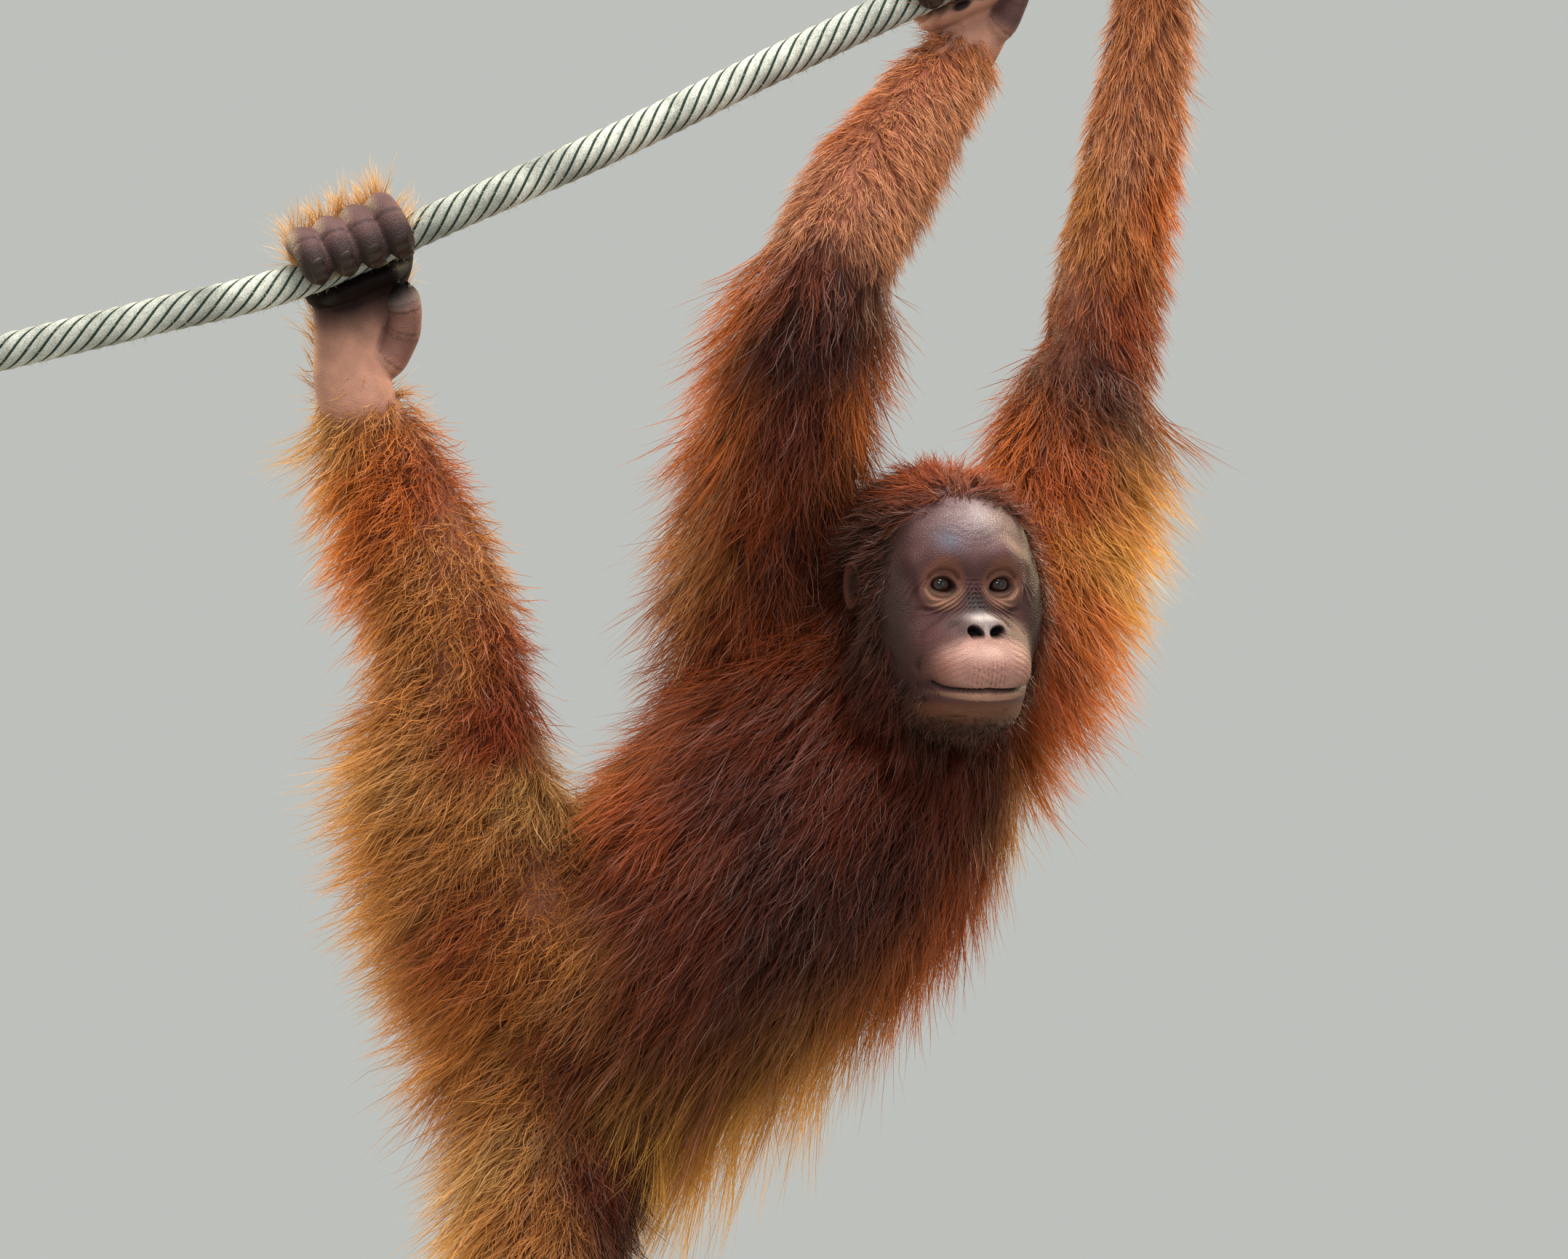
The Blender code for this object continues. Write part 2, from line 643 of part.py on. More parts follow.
def build_paws(rope_cutter):
    foot_right = gripping_paw(
        "foot_right", FOOT_RIGHT, [-352, -332, -312, -292],
        [(-345, 9, 1148), (-329, 9, 1153), (-312, 9, 1156), (-298, 9, 1158)], TOE_RADIUS,
        [(-312, 2, 1096), (-297, -2, 1108), (-288, -8, 1124), (-286, -15, 1142), (-290, -20, 1156), (-292, -22, 1160)],
        (15, 14, 12.5, 12, 10, 5), rope_cutter,
    )
    hand_right = gripping_paw(
        "hand_right", HAND_RIGHT, [103, 123, 143, 163],
        [(112, 86, 1380), (128, 86, 1382), (144, 86, 1384), (157, 86, 1386)], FINGER_RADIUS,
        [(150, 84, 1352), (167, 78, 1364), (176, 70, 1382), (182, 62, 1400), (186, 58, 1416), (187, 57, 1421)],
        (14, 12, 10.5, 9.5, 8.5, 5), rope_cutter,
    )
    hand_left = gripping_paw(
        "hand_left", HAND_LEFT, [262, 282, 302, 322],
        [(270, 113, 1444), (284, 113, 1448), (299, 113, 1452), (312, 113, 1454)], FINGER_RADIUS,
        [(270, 110, 1410), (254, 104, 1418), (244, 96, 1428), (236, 88, 1438), (230, 84, 1444), (228, 83, 1446)],
        (14, 12, 10.5, 9.5, 8.5, 5), rope_cutter,
    )
    foot_left = object_from(loft(np.array(FOOT_LEFT, float), 12), "foot_left", SKIN, ANIMAL)
    toes = [curled_toe((-213 + 17 * k, -100, 132 - abs(k - 1.5) * 2), 70, LOOSE_TOE_RADIUS) for k in range(4)]
    hallux = [(-170, -44, 180), (-156, -58, 170), (-148, -74, 156), (-146, -88, 140), (-150, -96, 128), (-151, -98, 125)]
    toes.append(tube([Vector(p) for p in hallux], (15, 14, 12.5, 12, 10, 5)))
    join_pieces(foot_left, toes)
    return foot_right, hand_right, hand_left, foot_left


def build_stand():
    bm = bmesh.new()
    bmesh.ops.create_cube(bm, size=1)
    for vertex in bm.verts:
        vertex.co = Vector((
            vertex.co.x * BASE_SIZE.x + BASE_CENTRE.x,
            vertex.co.y * BASE_SIZE.y + BASE_CENTRE.y,
            (vertex.co.z + 0.5) * BASE_HEIGHT,
        )) * MM
    base = object_from(bm, "stand_base", BASE, STAND)
    bevel = base.modifiers.new("edge", "BEVEL")
    bevel.width = BASE_EDGE * MM
    bevel.segments = 2
    rod = bmesh.new()
    length = ROD_TOP - BASE_HEIGHT - GAP
    bmesh.ops.create_cone(
        rod, cap_ends=True, segments=20, radius1=ROD_RADIUS * MM, radius2=ROD_RADIUS * MM, depth=length * MM
    )
    lift = Vector((ROD_FOOT.x, ROD_FOOT.y, BASE_HEIGHT + GAP + length / 2)) * MM
    bmesh.ops.translate(rod, verts=rod.verts, vec=lift)
    return base, object_from(rod, "stand_rod", STEEL, STAND)


def surface_of(made):
    """A search tree of a node's surface, in millimetres."""
    corners = [v.co / MM for v in made.data.vertices]
    return BVHTree.FromPolygons(corners, [list(p.vertices) for p in made.data.polygons])


def lock_path(skin, root, normal, comb, outward, length, lift):
    """Points from a sunk root along the lie, kept off the skin, each with the skin's normal there."""
    flat = (comb - normal * comb.dot(normal)).normalized()
    heading = (flat + normal * 0.4).normalized()
    aim = (comb + normal * outward).normalized()
    place = root - normal * LOCK_ROOT_DEPTH
    points, ups = [place], [normal]
    place = root.copy()
    for first, second in zip(LOCK_STEPS, LOCK_STEPS[1:]):
        place = place + heading * length * (second - first)
        foot, up, _, _ = skin.find_nearest(place)
        height = (place - foot).dot(up)
        wanted = lift * second**0.8
        if height < wanted:
            place = place + up * (wanted - height)
        points.append(place.copy())
        ups.append(up.copy())
        heading = (heading * 0.45 + aim * 0.55).normalized()
    return points, ups


def lock_form(points, ups, width, spare=0.0):
    """Corners and faces of a flat lock that tapers to its tip, with a low ridge along it."""
    corners, faces = [], []
    side = (points[1] - points[0]).cross(ups[0])
    for i, share in enumerate(LOCK_WIDTHS):
        along = (points[i + 1] - points[max(i - 1, 0)]).normalized()
        side = (side - along * side.dot(along)).normalized()
        up = side.cross(along)
        half = width * share / 2 + spare
        middle = points[i] - up * spare
        ridge = up * (width * share * LOCK_THICKNESS + 2 * spare)
        corners += [middle + side * half, middle + ridge, middle - side * half]
    tip = len(corners)
    corners.append(points[-1] + (points[-1] - points[-2]).normalized() * spare * 2)
    for i in range(len(LOCK_WIDTHS) - 1):
        for k in range(3):
            a, b = 3 * i + k, 3 * i + (k + 1) % 3
            faces += [(a, b, b + 3), (a, b + 3, a + 3)]
    last = tip - 3
    faces += [(last + k, last + (k + 1) % 3, tip) for k in range(3)]
    faces.append((2, 1, 0))
    return corners, faces


def crosses_itself(corners, faces):
    tree = BVHTree.FromPolygons(corners, faces)
    return any(not set(faces[a]) & set(faces[b]) for a, b in tree.overlap(tree))


def clear_of(points, ups, width, others):
    corners, faces = lock_form(points, ups, width, spare=0.6)
    if crosses_itself(corners, faces) or crosses_itself(*lock_form(points, ups, width)):
        return False
    tree = BVHTree.FromPolygons(corners, faces)
    return not any(tree.overlap(other) for other in others)


def tube_roots(rows, tiers, around):
    """Staggered places over a tube-like form: points of its middle line with spokes outward."""
    line = smooth_row(rows, 41)
    found = []
    for i in range(tiers):
        at = round(40 * (i + 0.5) / tiers)
        _, across, deep = frame_at(line[:, :3], at)
        row = line[at]
        for k in range(around):
            angle = 2 * math.pi * (k + 0.5 * (i % 2)) / around
            spoke = across * row[3] * math.cos(angle) + deep * row[4] * math.sin(angle)
            found.append((Vector(row[:3]), spoke))
    return found


def head_roots(count):
    """Places spread evenly over the haired part of the head, clear of the face and the ears."""
    middle = in_head((0, 0, 0))
    found = []
    for i in range(count):
        rise = 1 - 2 * (i + 0.5) / count
        turn = i * math.pi * (3 - math.sqrt(5))
        flat = math.sqrt(1 - rise * rise)
        x, y, z = flat * math.cos(turn), flat * math.sin(turn), rise
        face = y > 0.1 and z < 0.72
        ear = (Vector((abs(x), y, z)) - EAR_MIDDLE.normalized()).length < 0.36
        if not face and not ear:
            found.append((middle, (in_head((x, y, z)) - middle) * 70))
    return found


def comb_at(coat, normal, draw):
    """The way the coat lies at a place: the part's comb, turned a little out to each side."""
    lean = Vector(coat["comb"]) + Vector((normal.x, normal.y * 0.6, 0)) * 0.3
    stray = Vector((draw.uniform(-1, 1), draw.uniform(-1, 1), draw.uniform(-1, 1)))
    return (lean + stray * 0.16).normalized()


def cover(node, roots, others, draw):
    """Sets locks all over a node, shorter where a full one would cross another node, and joins them."""
    coat = dict(zip(COAT_FIELDS, COATS[node.name]))
    fringe = Vector(coat["fringe"]).normalized()
    skin = surface_of(node)
    group = make_collection("locks")
    for middle, spoke in roots:
        root, normal, _, _ = skin.ray_cast(middle + spoke * 1.6, -spoke.normalized())
        if root is None or (root - middle).length < spoke.length * 0.8:
            continue
        share = max(0.0, normal.dot(fringe))
        lift = coat["lift"] + (coat["fringe_lift"] - coat["lift"]) * share
        lean = comb_at(coat, normal, draw)
        size, spread = draw.uniform(0.86, 1.14), draw.uniform(0.88, 1.12)
        for shorter, flatter in LOCK_TRIES:
            length = coat["length"] * (0.85 + 0.15 * share) * size * shorter
            width = coat["width"] * spread * (0.55 + 0.45 * shorter)
            path, ups = lock_path(skin, root, normal, lean, coat["outward"], length, lift * flatter)
            if clear_of(path, ups, width, others):
                add_lock(path, ups, width, group)
                break
    apply_boolean(node, "UNION", group=group)
    for piece in list(group.objects):
        bpy.data.objects.remove(piece)
    bpy.data.collections.remove(group)
    keep_largest(node)


def add_lock(path, ups, width, group):
    corners, faces = lock_form(path, ups, width)
    bm = bmesh.new()
    placed = [bm.verts.new(c * MM) for c in corners]
    for face in faces:
        bm.faces.new([placed[k] for k in face])
    bm.normal_update()
    bmesh.ops.recalc_face_normals(bm, faces=bm.faces)
    object_from(bm, "lock", COAT_RED, group)


def overlaps(first, second):
    boxes = []
    for made in (first, second):
        corners = np.array([v.co for v in made.data.vertices])
        boxes.append((corners.min(axis=0) - 0.001, corners.max(axis=0) + 0.001))
    return bool(np.all(boxes[0][0] < boxes[1][1]) and np.all(boxes[1][0] < boxes[0][1]))


def settle(made, neighbours):
    """Cuts a node clear of the nodes it meets, a gap away."""
    for other in neighbours:
        if overlaps(made, other):
            cut_away(made, grown(other, GAP))
    return made


def limb_part(name, rows, finish, neighbours, open_end=False):
    stations = with_domes(smooth_row(rows, LIMB_STATIONS), open_end)
    made = object_from(loft(stations, LIMB_SIDES), name, finish, ANIMAL)
    return settle(made, neighbours)


def main():
    base, rod = build_stand()
    rope = build_rope()
    torso = object_from(loft(smooth_row(TORSO, TORSO_STATIONS), TORSO_SIDES), "torso", COAT_DARK, ANIMAL)
    settle(torso, [rod])
    head = settle(head_form(), [torso])
    neck = object_from(loft(smooth_row(NECK, NECK_STATIONS), NECK_SIDES), "neck", COAT_DARK, ANIMAL)
    settle(neck, [torso, head])
    middle = [torso, head, neck]
    upper_arm_right = limb_part("upper_arm_right", UPPER_ARM_RIGHT, COAT_RED, middle)
    upper_arm_left = limb_part("upper_arm_left", UPPER_ARM_LEFT, COAT_RED, middle)
    thigh_right = limb_part("thigh_right", THIGH_RIGHT, COAT_GOLD, [torso, upper_arm_right])
    thigh_left = limb_part("thigh_left", THIGH_LEFT, COAT_GOLD, [torso, thigh_right, rod])
    forearm_right = limb_part("forearm_right", FOREARM_RIGHT, COAT_RED, [upper_arm_right, head], open_end=True)
    forearm_left = limb_part("forearm_left", FOREARM_LEFT, COAT_RED, [upper_arm_left], open_end=True)
    shin_right = limb_part("shin_right", SHIN_RIGHT, COAT_GOLD, [thigh_right], open_end=True)
    shin_left = limb_part("shin_left", SHIN_LEFT, COAT_GOLD, [thigh_left], open_end=True)
    ears(head)
    carve_face(head)
    eyes()
    foot_right, hand_right, hand_left, foot_left = build_paws(grown(rope, GAP))
    settle(foot_right, [shin_right])
    settle(hand_right, [forearm_right])
    settle(hand_left, [forearm_left])
    settle(foot_left, [shin_left])
    tubes = [
        (torso, TORSO), (upper_arm_right, UPPER_ARM_RIGHT), (upper_arm_left, UPPER_ARM_LEFT),
        (thigh_right, THIGH_RIGHT), (thigh_left, THIGH_LEFT), (forearm_right, FOREARM_RIGHT),
        (forearm_left, FOREARM_LEFT), (shin_right, SHIN_RIGHT), (shin_left, SHIN_LEFT), (neck, NECK),
    ]
    coated = []
    for made, rows in tubes:
        _, _, _, _, _, _, _, tiers, around = COATS[made.name]
        coated.append((made, tube_roots(rows, tiers, around)))
    coated.append((head, head_roots(COATS["head"][-1])))
    draw = random.Random(LOCK_SEED)
    trees = {made.name: surface_of(made) for made in [*ANIMAL.objects, *STAND.objects]}
    for made, roots in coated:
        others = [tree for name, tree in trees.items() if name != made.name]
        cover(made, roots, others, draw)
        trees[made.name] = surface_of(made)


clear_scene()
ANIMAL = make_collection("orangutan")
STAND = make_collection("stand")
CUTTERS = make_collection("cutters")
CUTTERS.hide_render = True
main()
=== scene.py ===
"""Looks of a young orangutan that hangs by both hands and one foot from a cut length of rope.

Metres, +Z up, the animal's front towards -Y. Sizes below are millimetres, as on the solid model,
and are turned to metres where a mesh is made.
"""

import math

import bmesh
import bpy
import numpy as np
from mathutils import Matrix, Vector
from mathutils.bvhtree import BVHTree
from mathutils.kdtree import KDTree


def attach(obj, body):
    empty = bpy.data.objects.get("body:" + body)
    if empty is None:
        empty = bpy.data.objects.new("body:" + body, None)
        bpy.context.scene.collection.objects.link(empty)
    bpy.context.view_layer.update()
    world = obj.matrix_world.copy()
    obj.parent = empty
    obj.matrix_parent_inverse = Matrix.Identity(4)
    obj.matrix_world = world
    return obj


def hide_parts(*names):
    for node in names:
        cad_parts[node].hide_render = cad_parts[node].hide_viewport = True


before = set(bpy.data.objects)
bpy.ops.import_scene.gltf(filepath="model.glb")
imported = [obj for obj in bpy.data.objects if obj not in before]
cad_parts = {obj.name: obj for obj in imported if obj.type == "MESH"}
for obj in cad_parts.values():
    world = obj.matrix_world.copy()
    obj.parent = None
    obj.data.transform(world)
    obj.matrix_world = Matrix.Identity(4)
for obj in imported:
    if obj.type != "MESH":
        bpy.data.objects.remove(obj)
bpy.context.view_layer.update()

MM = 0.001
SEED = 7

# The picture: the real width that it shows where the animal hangs, the place at its middle, the
# camera's distance in metres and its sensor's width.
PICTURE_WIDTH = 1186
PICTURE_MIDDLE = Vector((0, 0, 900))
CAMERA_AWAY = 10
SENSOR = 36

# Body stations: centre x, y, z, half width in the front view and half depth, undercoat included.
TORSO = [
    (-216, 14, 604, 34, 34), (-198, 20, 618, 64, 58), (-160, 24, 640, 90, 80),
    (-98, 14, 668, 112, 92), (-26, 4, 716, 132, 100), (29, 2, 766, 136, 98),
    (66, 8, 821, 124, 92), (86, 20, 868, 104, 78), (98, 32, 900, 74, 60), (104, 38, 920, 36, 32),
]
NECK = [
    (84, 22, 850, 84, 70), (94, 14, 884, 90, 78), (104, -2, 916, 88, 80), (110, -16, 944, 70, 66),
    (114, -28, 962, 40, 40),
]
UPPER_ARM_RIGHT = [
    (-2, 36, 880, 62, 60), (-12, 28, 915, 65, 64), (-8, -4, 980, 61, 59), (7, -46, 1055, 58, 56),
    (22, -84, 1128, 57, 53), (32, -101, 1166, 54, 51),
]
FOREARM_RIGHT = [
    (36, -102, 1178, 52, 48), (58, -64, 1220, 54, 47), (84, -8, 1264, 48, 41), (112, 46, 1306, 37, 31),
    (135, 82, 1336, 27, 21),
]
UPPER_ARM_LEFT = [
    (146, 32, 872, 60, 58), (168, 42, 908, 66, 62), (191, 62, 962, 62, 56), (213, 88, 1030, 57, 52),
    (229, 104, 1086, 53, 48),
]
FOREARM_LEFT = [
    (236, 112, 1100, 48, 44), (246, 116, 1160, 48, 42), (258, 114, 1230, 41, 36),
    (271, 112, 1310, 33, 28), (283, 110, 1390, 26, 21),
]
THIGH_RIGHT = [
    (-160, 10, 640, 72, 68), (-186, 2, 676, 78, 70), (-219, -12, 738, 70, 62), (-237, -22, 800, 60, 54),
    (-241, -28, 848, 53, 51),
]
SHIN_RIGHT = [
    (-240, -30, 872, 48, 46), (-250, -25, 916, 49, 45), (-270, -14, 966, 48, 42),
    (-292, -4, 1016, 40, 35), (-310, 3, 1056, 30, 28),
]
THIGH_LEFT = [
    (-136, 30, 622, 68, 62), (-146, 24, 580, 75, 66), (-163, 0, 522, 71, 61), (-174, -28, 466, 64, 56),
    (-180, -50, 414, 55, 50),
]
SHIN_LEFT = [
    (-182, -56, 388, 48, 46), (-183, -54, 350, 47, 44), (-184, -46, 300, 45, 40),
    (-184, -38, 255, 34, 31), (-184, -34, 214, 28, 27),
]
BODY = {
    "torso": TORSO, "neck": NECK, "upper_arm_right": UPPER_ARM_RIGHT, "upper_arm_left": UPPER_ARM_LEFT,
    "forearm_right": FOREARM_RIGHT, "forearm_left": FOREARM_LEFT, "thigh_right": THIGH_RIGHT,
    "thigh_left": THIGH_LEFT, "shin_right": SHIN_RIGHT, "shin_left": SHIN_LEFT,
}
REGIONS = list(BODY)

# The undercoat is this deep over a thick form and thins to almost nothing at a wrist or an ankle.
COAT_DEPTH = 12
BARE_RADIUS = 20
FULL_COAT_RADIUS = 48

# How fine the fused skins are: the body's, which the coat hides, and the paws'.
BODY_VOXEL, PAW_VOXEL = 5.0, 1.8

# The rope's middle line, from the picture's left edge to past the left hand.
ROPE_RADIUS = 14
ROPE_ROUTE = [
    (-615, -58, 1102), (-480, -52, 1134), (-366, -40, 1163), (-318, -33, 1183), (-272, -27, 1204),
    (-139, -4, 1263), (0, 28, 1332), (122, 57, 1390), (287, 84, 1464), (353, 96, 1493),
]

# Palms, as body stations from the wrist or ankle to the knuckles.
FOOT_RIGHT = [
    (-309, 2, 1044, 23, 21), (-317, 0, 1060, 28, 25), (-326, -3, 1084, 29, 24),
    (-327, 1, 1118, 29, 17), (-323, 6, 1148, 34, 14), (-319, 9, 1170, 35, 12), (-318, 10, 1176, 30, 8),
]
HAND_RIGHT = [
    (130, 76, 1326, 22, 18), (137, 83, 1342, 26, 20), (140, 86, 1362, 33, 18),
    (136, 86, 1385, 35, 14), (132, 87, 1402, 34, 12), (131, 87, 1406, 30, 8),
]
HAND_LEFT = [
    (281, 110, 1380, 22, 18), (284, 110, 1398, 26, 20), (288, 112, 1420, 33, 18),
    (292, 112, 1448, 35, 14), (292, 114, 1468, 34, 12), (292, 114, 1473, 30, 8),
]
FOOT_LEFT = [
    (-183, -34, 228, 20, 20), (-183, -36, 206, 27, 27), (-184, -48, 188, 28, 25),
    (-186, -66, 164, 29, 17), (-188, -92, 140, 33, 14), (-189, -110, 124, 34, 12), (-190, -115, 120, 30, 8),
]
# For each digit that grips: how far along the front view it crosses the rope, and its root.
FOOT_RIGHT_GRIPS = [
    (-352, (-345, 9, 1148)), (-332, (-329, 9, 1153)), (-312, (-312, 9, 1156)), (-292, (-298, 9, 1158)),
]
HAND_RIGHT_GRIPS = [
    (103, (112, 86, 1380)), (123, (128, 86, 1382)), (143, (144, 86, 1384)), (163, (157, 86, 1386)),
]
HAND_LEFT_GRIPS = [
    (262, (270, 113, 1444)), (282, (284, 113, 1448)), (302, (299, 113, 1452)), (322, (312, 113, 1454)),
]
# Thumbs and great toes, along their middle lines from the palm to the tip.
FOOT_RIGHT_THUMB = [
    (-312, 2, 1096), (-297, -2, 1108), (-288, -8, 1124), (-286, -15, 1142), (-290, -20, 1156),
    (-292, -22, 1160),
]
HAND_RIGHT_THUMB = [
    (150, 84, 1352), (167, 78, 1364), (176, 70, 1382), (182, 62, 1400), (186, 58, 1416), (187, 57, 1421),
]
HAND_LEFT_THUMB = [
    (270, 110, 1410), (254, 104, 1418), (244, 96, 1428), (236, 88, 1438), (230, 84, 1444), (228, 83, 1446),
]
FOOT_LEFT_THUMB = [
    (-170, -44, 180), (-156, -58, 170), (-148, -74, 156), (-146, -88, 140), (-150, -96, 128),
    (-151, -98, 125),
]
FINGER_RADIUS = 10.4
TOE_RADIUS = 11
LOOSE_TOE_RADIUS = 9.6
HAND_THUMB_RADII = (14, 12, 10.5, 9.5, 8.5, 5)
FOOT_THUMB_RADII = (15, 14, 12.5, 12, 10, 5)
# A gripping digit's thickness from root to tip, as shares of its radius, and a loose toe's.
GRIP_TAPER = (1.06, 1.03, 1.0, 1.06, 1.03, 1.03, 1.03, 0.9)
LOOSE_TAPER = (1.1, 1.0, 1.05, 0.95, 0.95, 0.85, 0.6)
JOINTS_ALONG_DIGIT = (0.2, 0.52, 0.78)
# Angles round the rope, 0 at its front and 90 on top: where the digits start and where each ends.
GRIP_START = 196
FOOT_GRIP_ENDS = (-24, -30, -37, -42)
HAND_GRIP_ENDS = (-34, -36, -36, -34)
# Room between a gripping digit and the rope.
GRIP_SLACK = 1.2
# The flesh under the rope: half its depth and height, how far behind the rope's middle it reaches,
# and how far its middle lies under the rope.
PAD_HALF_DEPTH, PAD_HALF_HEIGHT, PAD_REACH, PAD_BELOW = 23, 8, 35, 7
# The loose foot's toes: the first root, the step to the next, how much the row bows, the length,
# and the pitch in degrees at the root and from each station to the next.
LOOSE_TOE_ROOT = (-213, -100, 132)
LOOSE_TOE_STEP, LOOSE_TOE_BOW, LOOSE_TOE_LENGTH = 17, 2, 70
LOOSE_TOE_PITCH, LOOSE_TOE_CURL = -38, 19

# The head's middle between the ears, and its turn towards the viewer. Places on the head are in
# millimetres from that middle: x to the animal's left, y forward and z up.
HEAD_CENTRE = Vector((119, -72, 922))
HEAD_TURN = math.radians(20)
EYE_OFFSET = Vector((23.2, 51.5, 12))
EYE_RADIUS = 11.5
LID_THICKNESS = 2.2
EAR_MIDDLE = Vector((69, -3, 11))
EAR_HEIGHT, EAR_DEPTH = 17.5, 12

# Head forms: centre, radii and how softly each joins the rest. x is mirrored on all of the head.
HEAD_FORMS = [
    ((0, -20, 30), (63, 69, 66), 1),
    ((0, 22, 36), (57, 47, 48), 18),
    ((0, 20, -4), (64, 40, 52), 16),
    ((44, 26, -12), (22, 27, 48), 18),
    ((0, 0, -48), (58, 56, 46), 18),
    ((0, 46, -50), (42, 59, 36), 22),
    ((20, 44, -50), (26, 51, 35), 14),
    ((0, 34, -82), (42, 59, 21), 14),
]
# Round-ended bars and hollows of the face: ends or centre, radii, then how softly each joins.
MUZZLE_RISE = ((0, 46, 8), 12, (0, 56, -34), 31, 18)
BROW = ((0, 64, 29), (23, 63, 33), (40, 54, 27), 5, 14)
EYE_RIM = ((23.2, 59, 12), 15.5, 2.6, 9)
EYE_HOLLOW = ((23.2, 80, 12), 16.5, 12)
NOSE_WING = ((9, 85, -22), (9, 8, 8.5), 6)
NOSE_SEPTUM = ((0, 78, -13), (0, 90, -30), 4.5, 7)
LOWER_LIP = ((0, 38, -74), (40, 58, 6.5), 6)
NOSTRIL = ((8.4, 93, -24.5), (6.4, 11, 4.4))
NOSTRIL_LEAN = math.radians(32)
EYE_SLIT = ((23.2, 65, 11.5), (9.4, 14, 5.4))
# The mouth line, and the distance from the head's middle at which the lips lie.
MOUTH_LINE = [(-38, 80, -63), (-22, 95, -68.5), (0, 102, -70), (22, 95, -68.5), (38, 80, -63)]
MOUTH_REACH = 112

# Patterns of the materials, in millimetres. A hair's mottle, pores, veins, ridges and brushing are
# finer on the real ones, and are drawn as coarse as they need to be to show.
HAIR_MOTTLE = 3.85
SKIN_PEBBLE, SKIN_PORE, SKIN_BLOTCH = 1.92, 1.11, 14.3
EYE_VEIN = 1.11
NAIL_RIDGE = 1.43
ROPE_STAIN, ROPE_FIBRE, MARKER_FIBRE = 45.5, 0.9, 0.8
ROLLER_MARK, PAINT_WEAR = 2.38, 111
BRUSH_LENGTH, BRUSH_WIDTH = 25, 0.4
FLOOR_GRAIN = 16.7


def linear(hex_colour):
    """The linear light of an sRGB hex colour."""
    channels = [int(hex_colour[i : i + 2], 16) / 255 for i in (1, 3, 5)]
    return np.array([c / 12.92 if c <= 0.04045 else ((c + 0.055) / 1.055) ** 2.4 for c in channels])


def rgba(hex_colour):
    """The same with full opacity, as a colour socket takes it."""
    return (*linear(hex_colour), 1)


def unit(vectors):
    """Vectors at length one."""
    return vectors / np.maximum(np.linalg.norm(vectors, axis=-1, keepdims=True), 1e-9)


def smooth_step(low, high, values):
    """0 at low and 1 at high, with a soft start and end. It falls where low is over high."""
    t = np.clip((values - low) / (high - low), 0, 1)
    return t * t * (3 - 2 * t)


def fading(distance, width):
    """1 where a distance is 0, fading smoothly past a width."""
    return np.exp(-((distance / width) ** 2))


def mirrored(points):
    """Places on the head, all brought to its left side."""
    return np.column_stack([np.abs(points[:, 0]), points[:, 1], points[:, 2]])


def per_metre(size_mm):
    """How often a pattern of this size comes in a metre, as a texture's scale asks."""
    return 1000 / size_mm


def set_inputs(tree, node, inputs):
    """Each input is a value or another node's socket."""
    for key, value in inputs.items():
        if isinstance(value, bpy.types.NodeSocket):
            tree.links.new(value, node.inputs[key])
        else:
            node.inputs[key].default_value = value


def add_node(tree, kind, inputs=None, **settings):
    """A node with its settings, inputs and links."""
    made = tree.nodes.new(kind)
    for key, value in settings.items():
        setattr(made, key, value)
    set_inputs(tree, made, inputs or {})
    return made


def new_material(name):
    """A material, its node tree, its shader, and the place on the object that patterns follow."""
    made = bpy.data.materials.new(name)
    made.use_nodes = True
    tree = made.node_tree
    place = add_node(tree, "ShaderNodeTexCoord").outputs["Object"]
    return made, tree, tree.nodes["Principled BSDF"], place


def uneven_tone(tree, noise, darkest, palest):
    """The colour kept on the mesh, darker and paler from place to place as a noise says."""
    colour = add_node(tree, "ShaderNodeAttribute", attribute_name="tone")
    shade = add_node(tree, "ShaderNodeMapRange", {
        "Value": noise.outputs["Fac"], "From Min": 0.3, "From Max": 0.7, "To Min": darkest, "To Max": palest,
    })
    inputs = {0: colour.outputs["Color"], "Scale": shade.outputs["Result"]}
    return add_node(tree, "ShaderNodeVectorMath", inputs, operation="SCALE").outputs["Vector"]


def fur_material(name, roughness):
    """Ape hair, grown: a soft silky sheen, each strand a colour of its own, some light through it."""
    made, tree, shader, place = new_material(name)
    mottle = add_node(
        tree, "ShaderNodeTexNoise", {"Vector": place, "Scale": per_metre(HAIR_MOTTLE), "Detail": 2.0}
    )
    tone = uneven_tone(tree, mottle, 0.86, 1.1)
    set_inputs(tree, shader, {
        "Base Color": tone, "Roughness": roughness, "Specular IOR Level": 0.35,
        "Sheen Weight": 0.25, "Sheen Roughness": 0.4, "Sheen Tint": (1.0, 0.82, 0.6, 1),
    })
    through = add_node(tree, "ShaderNodeBsdfTranslucent", {"Color": tone})
    mix = add_node(tree, "ShaderNodeMixShader", {"Fac": 0.36, 1: shader.outputs[0], 2: through.outputs[0]})
    tree.links.new(mix.outputs[0], tree.nodes["Material Output"].inputs["Surface"])
    return made


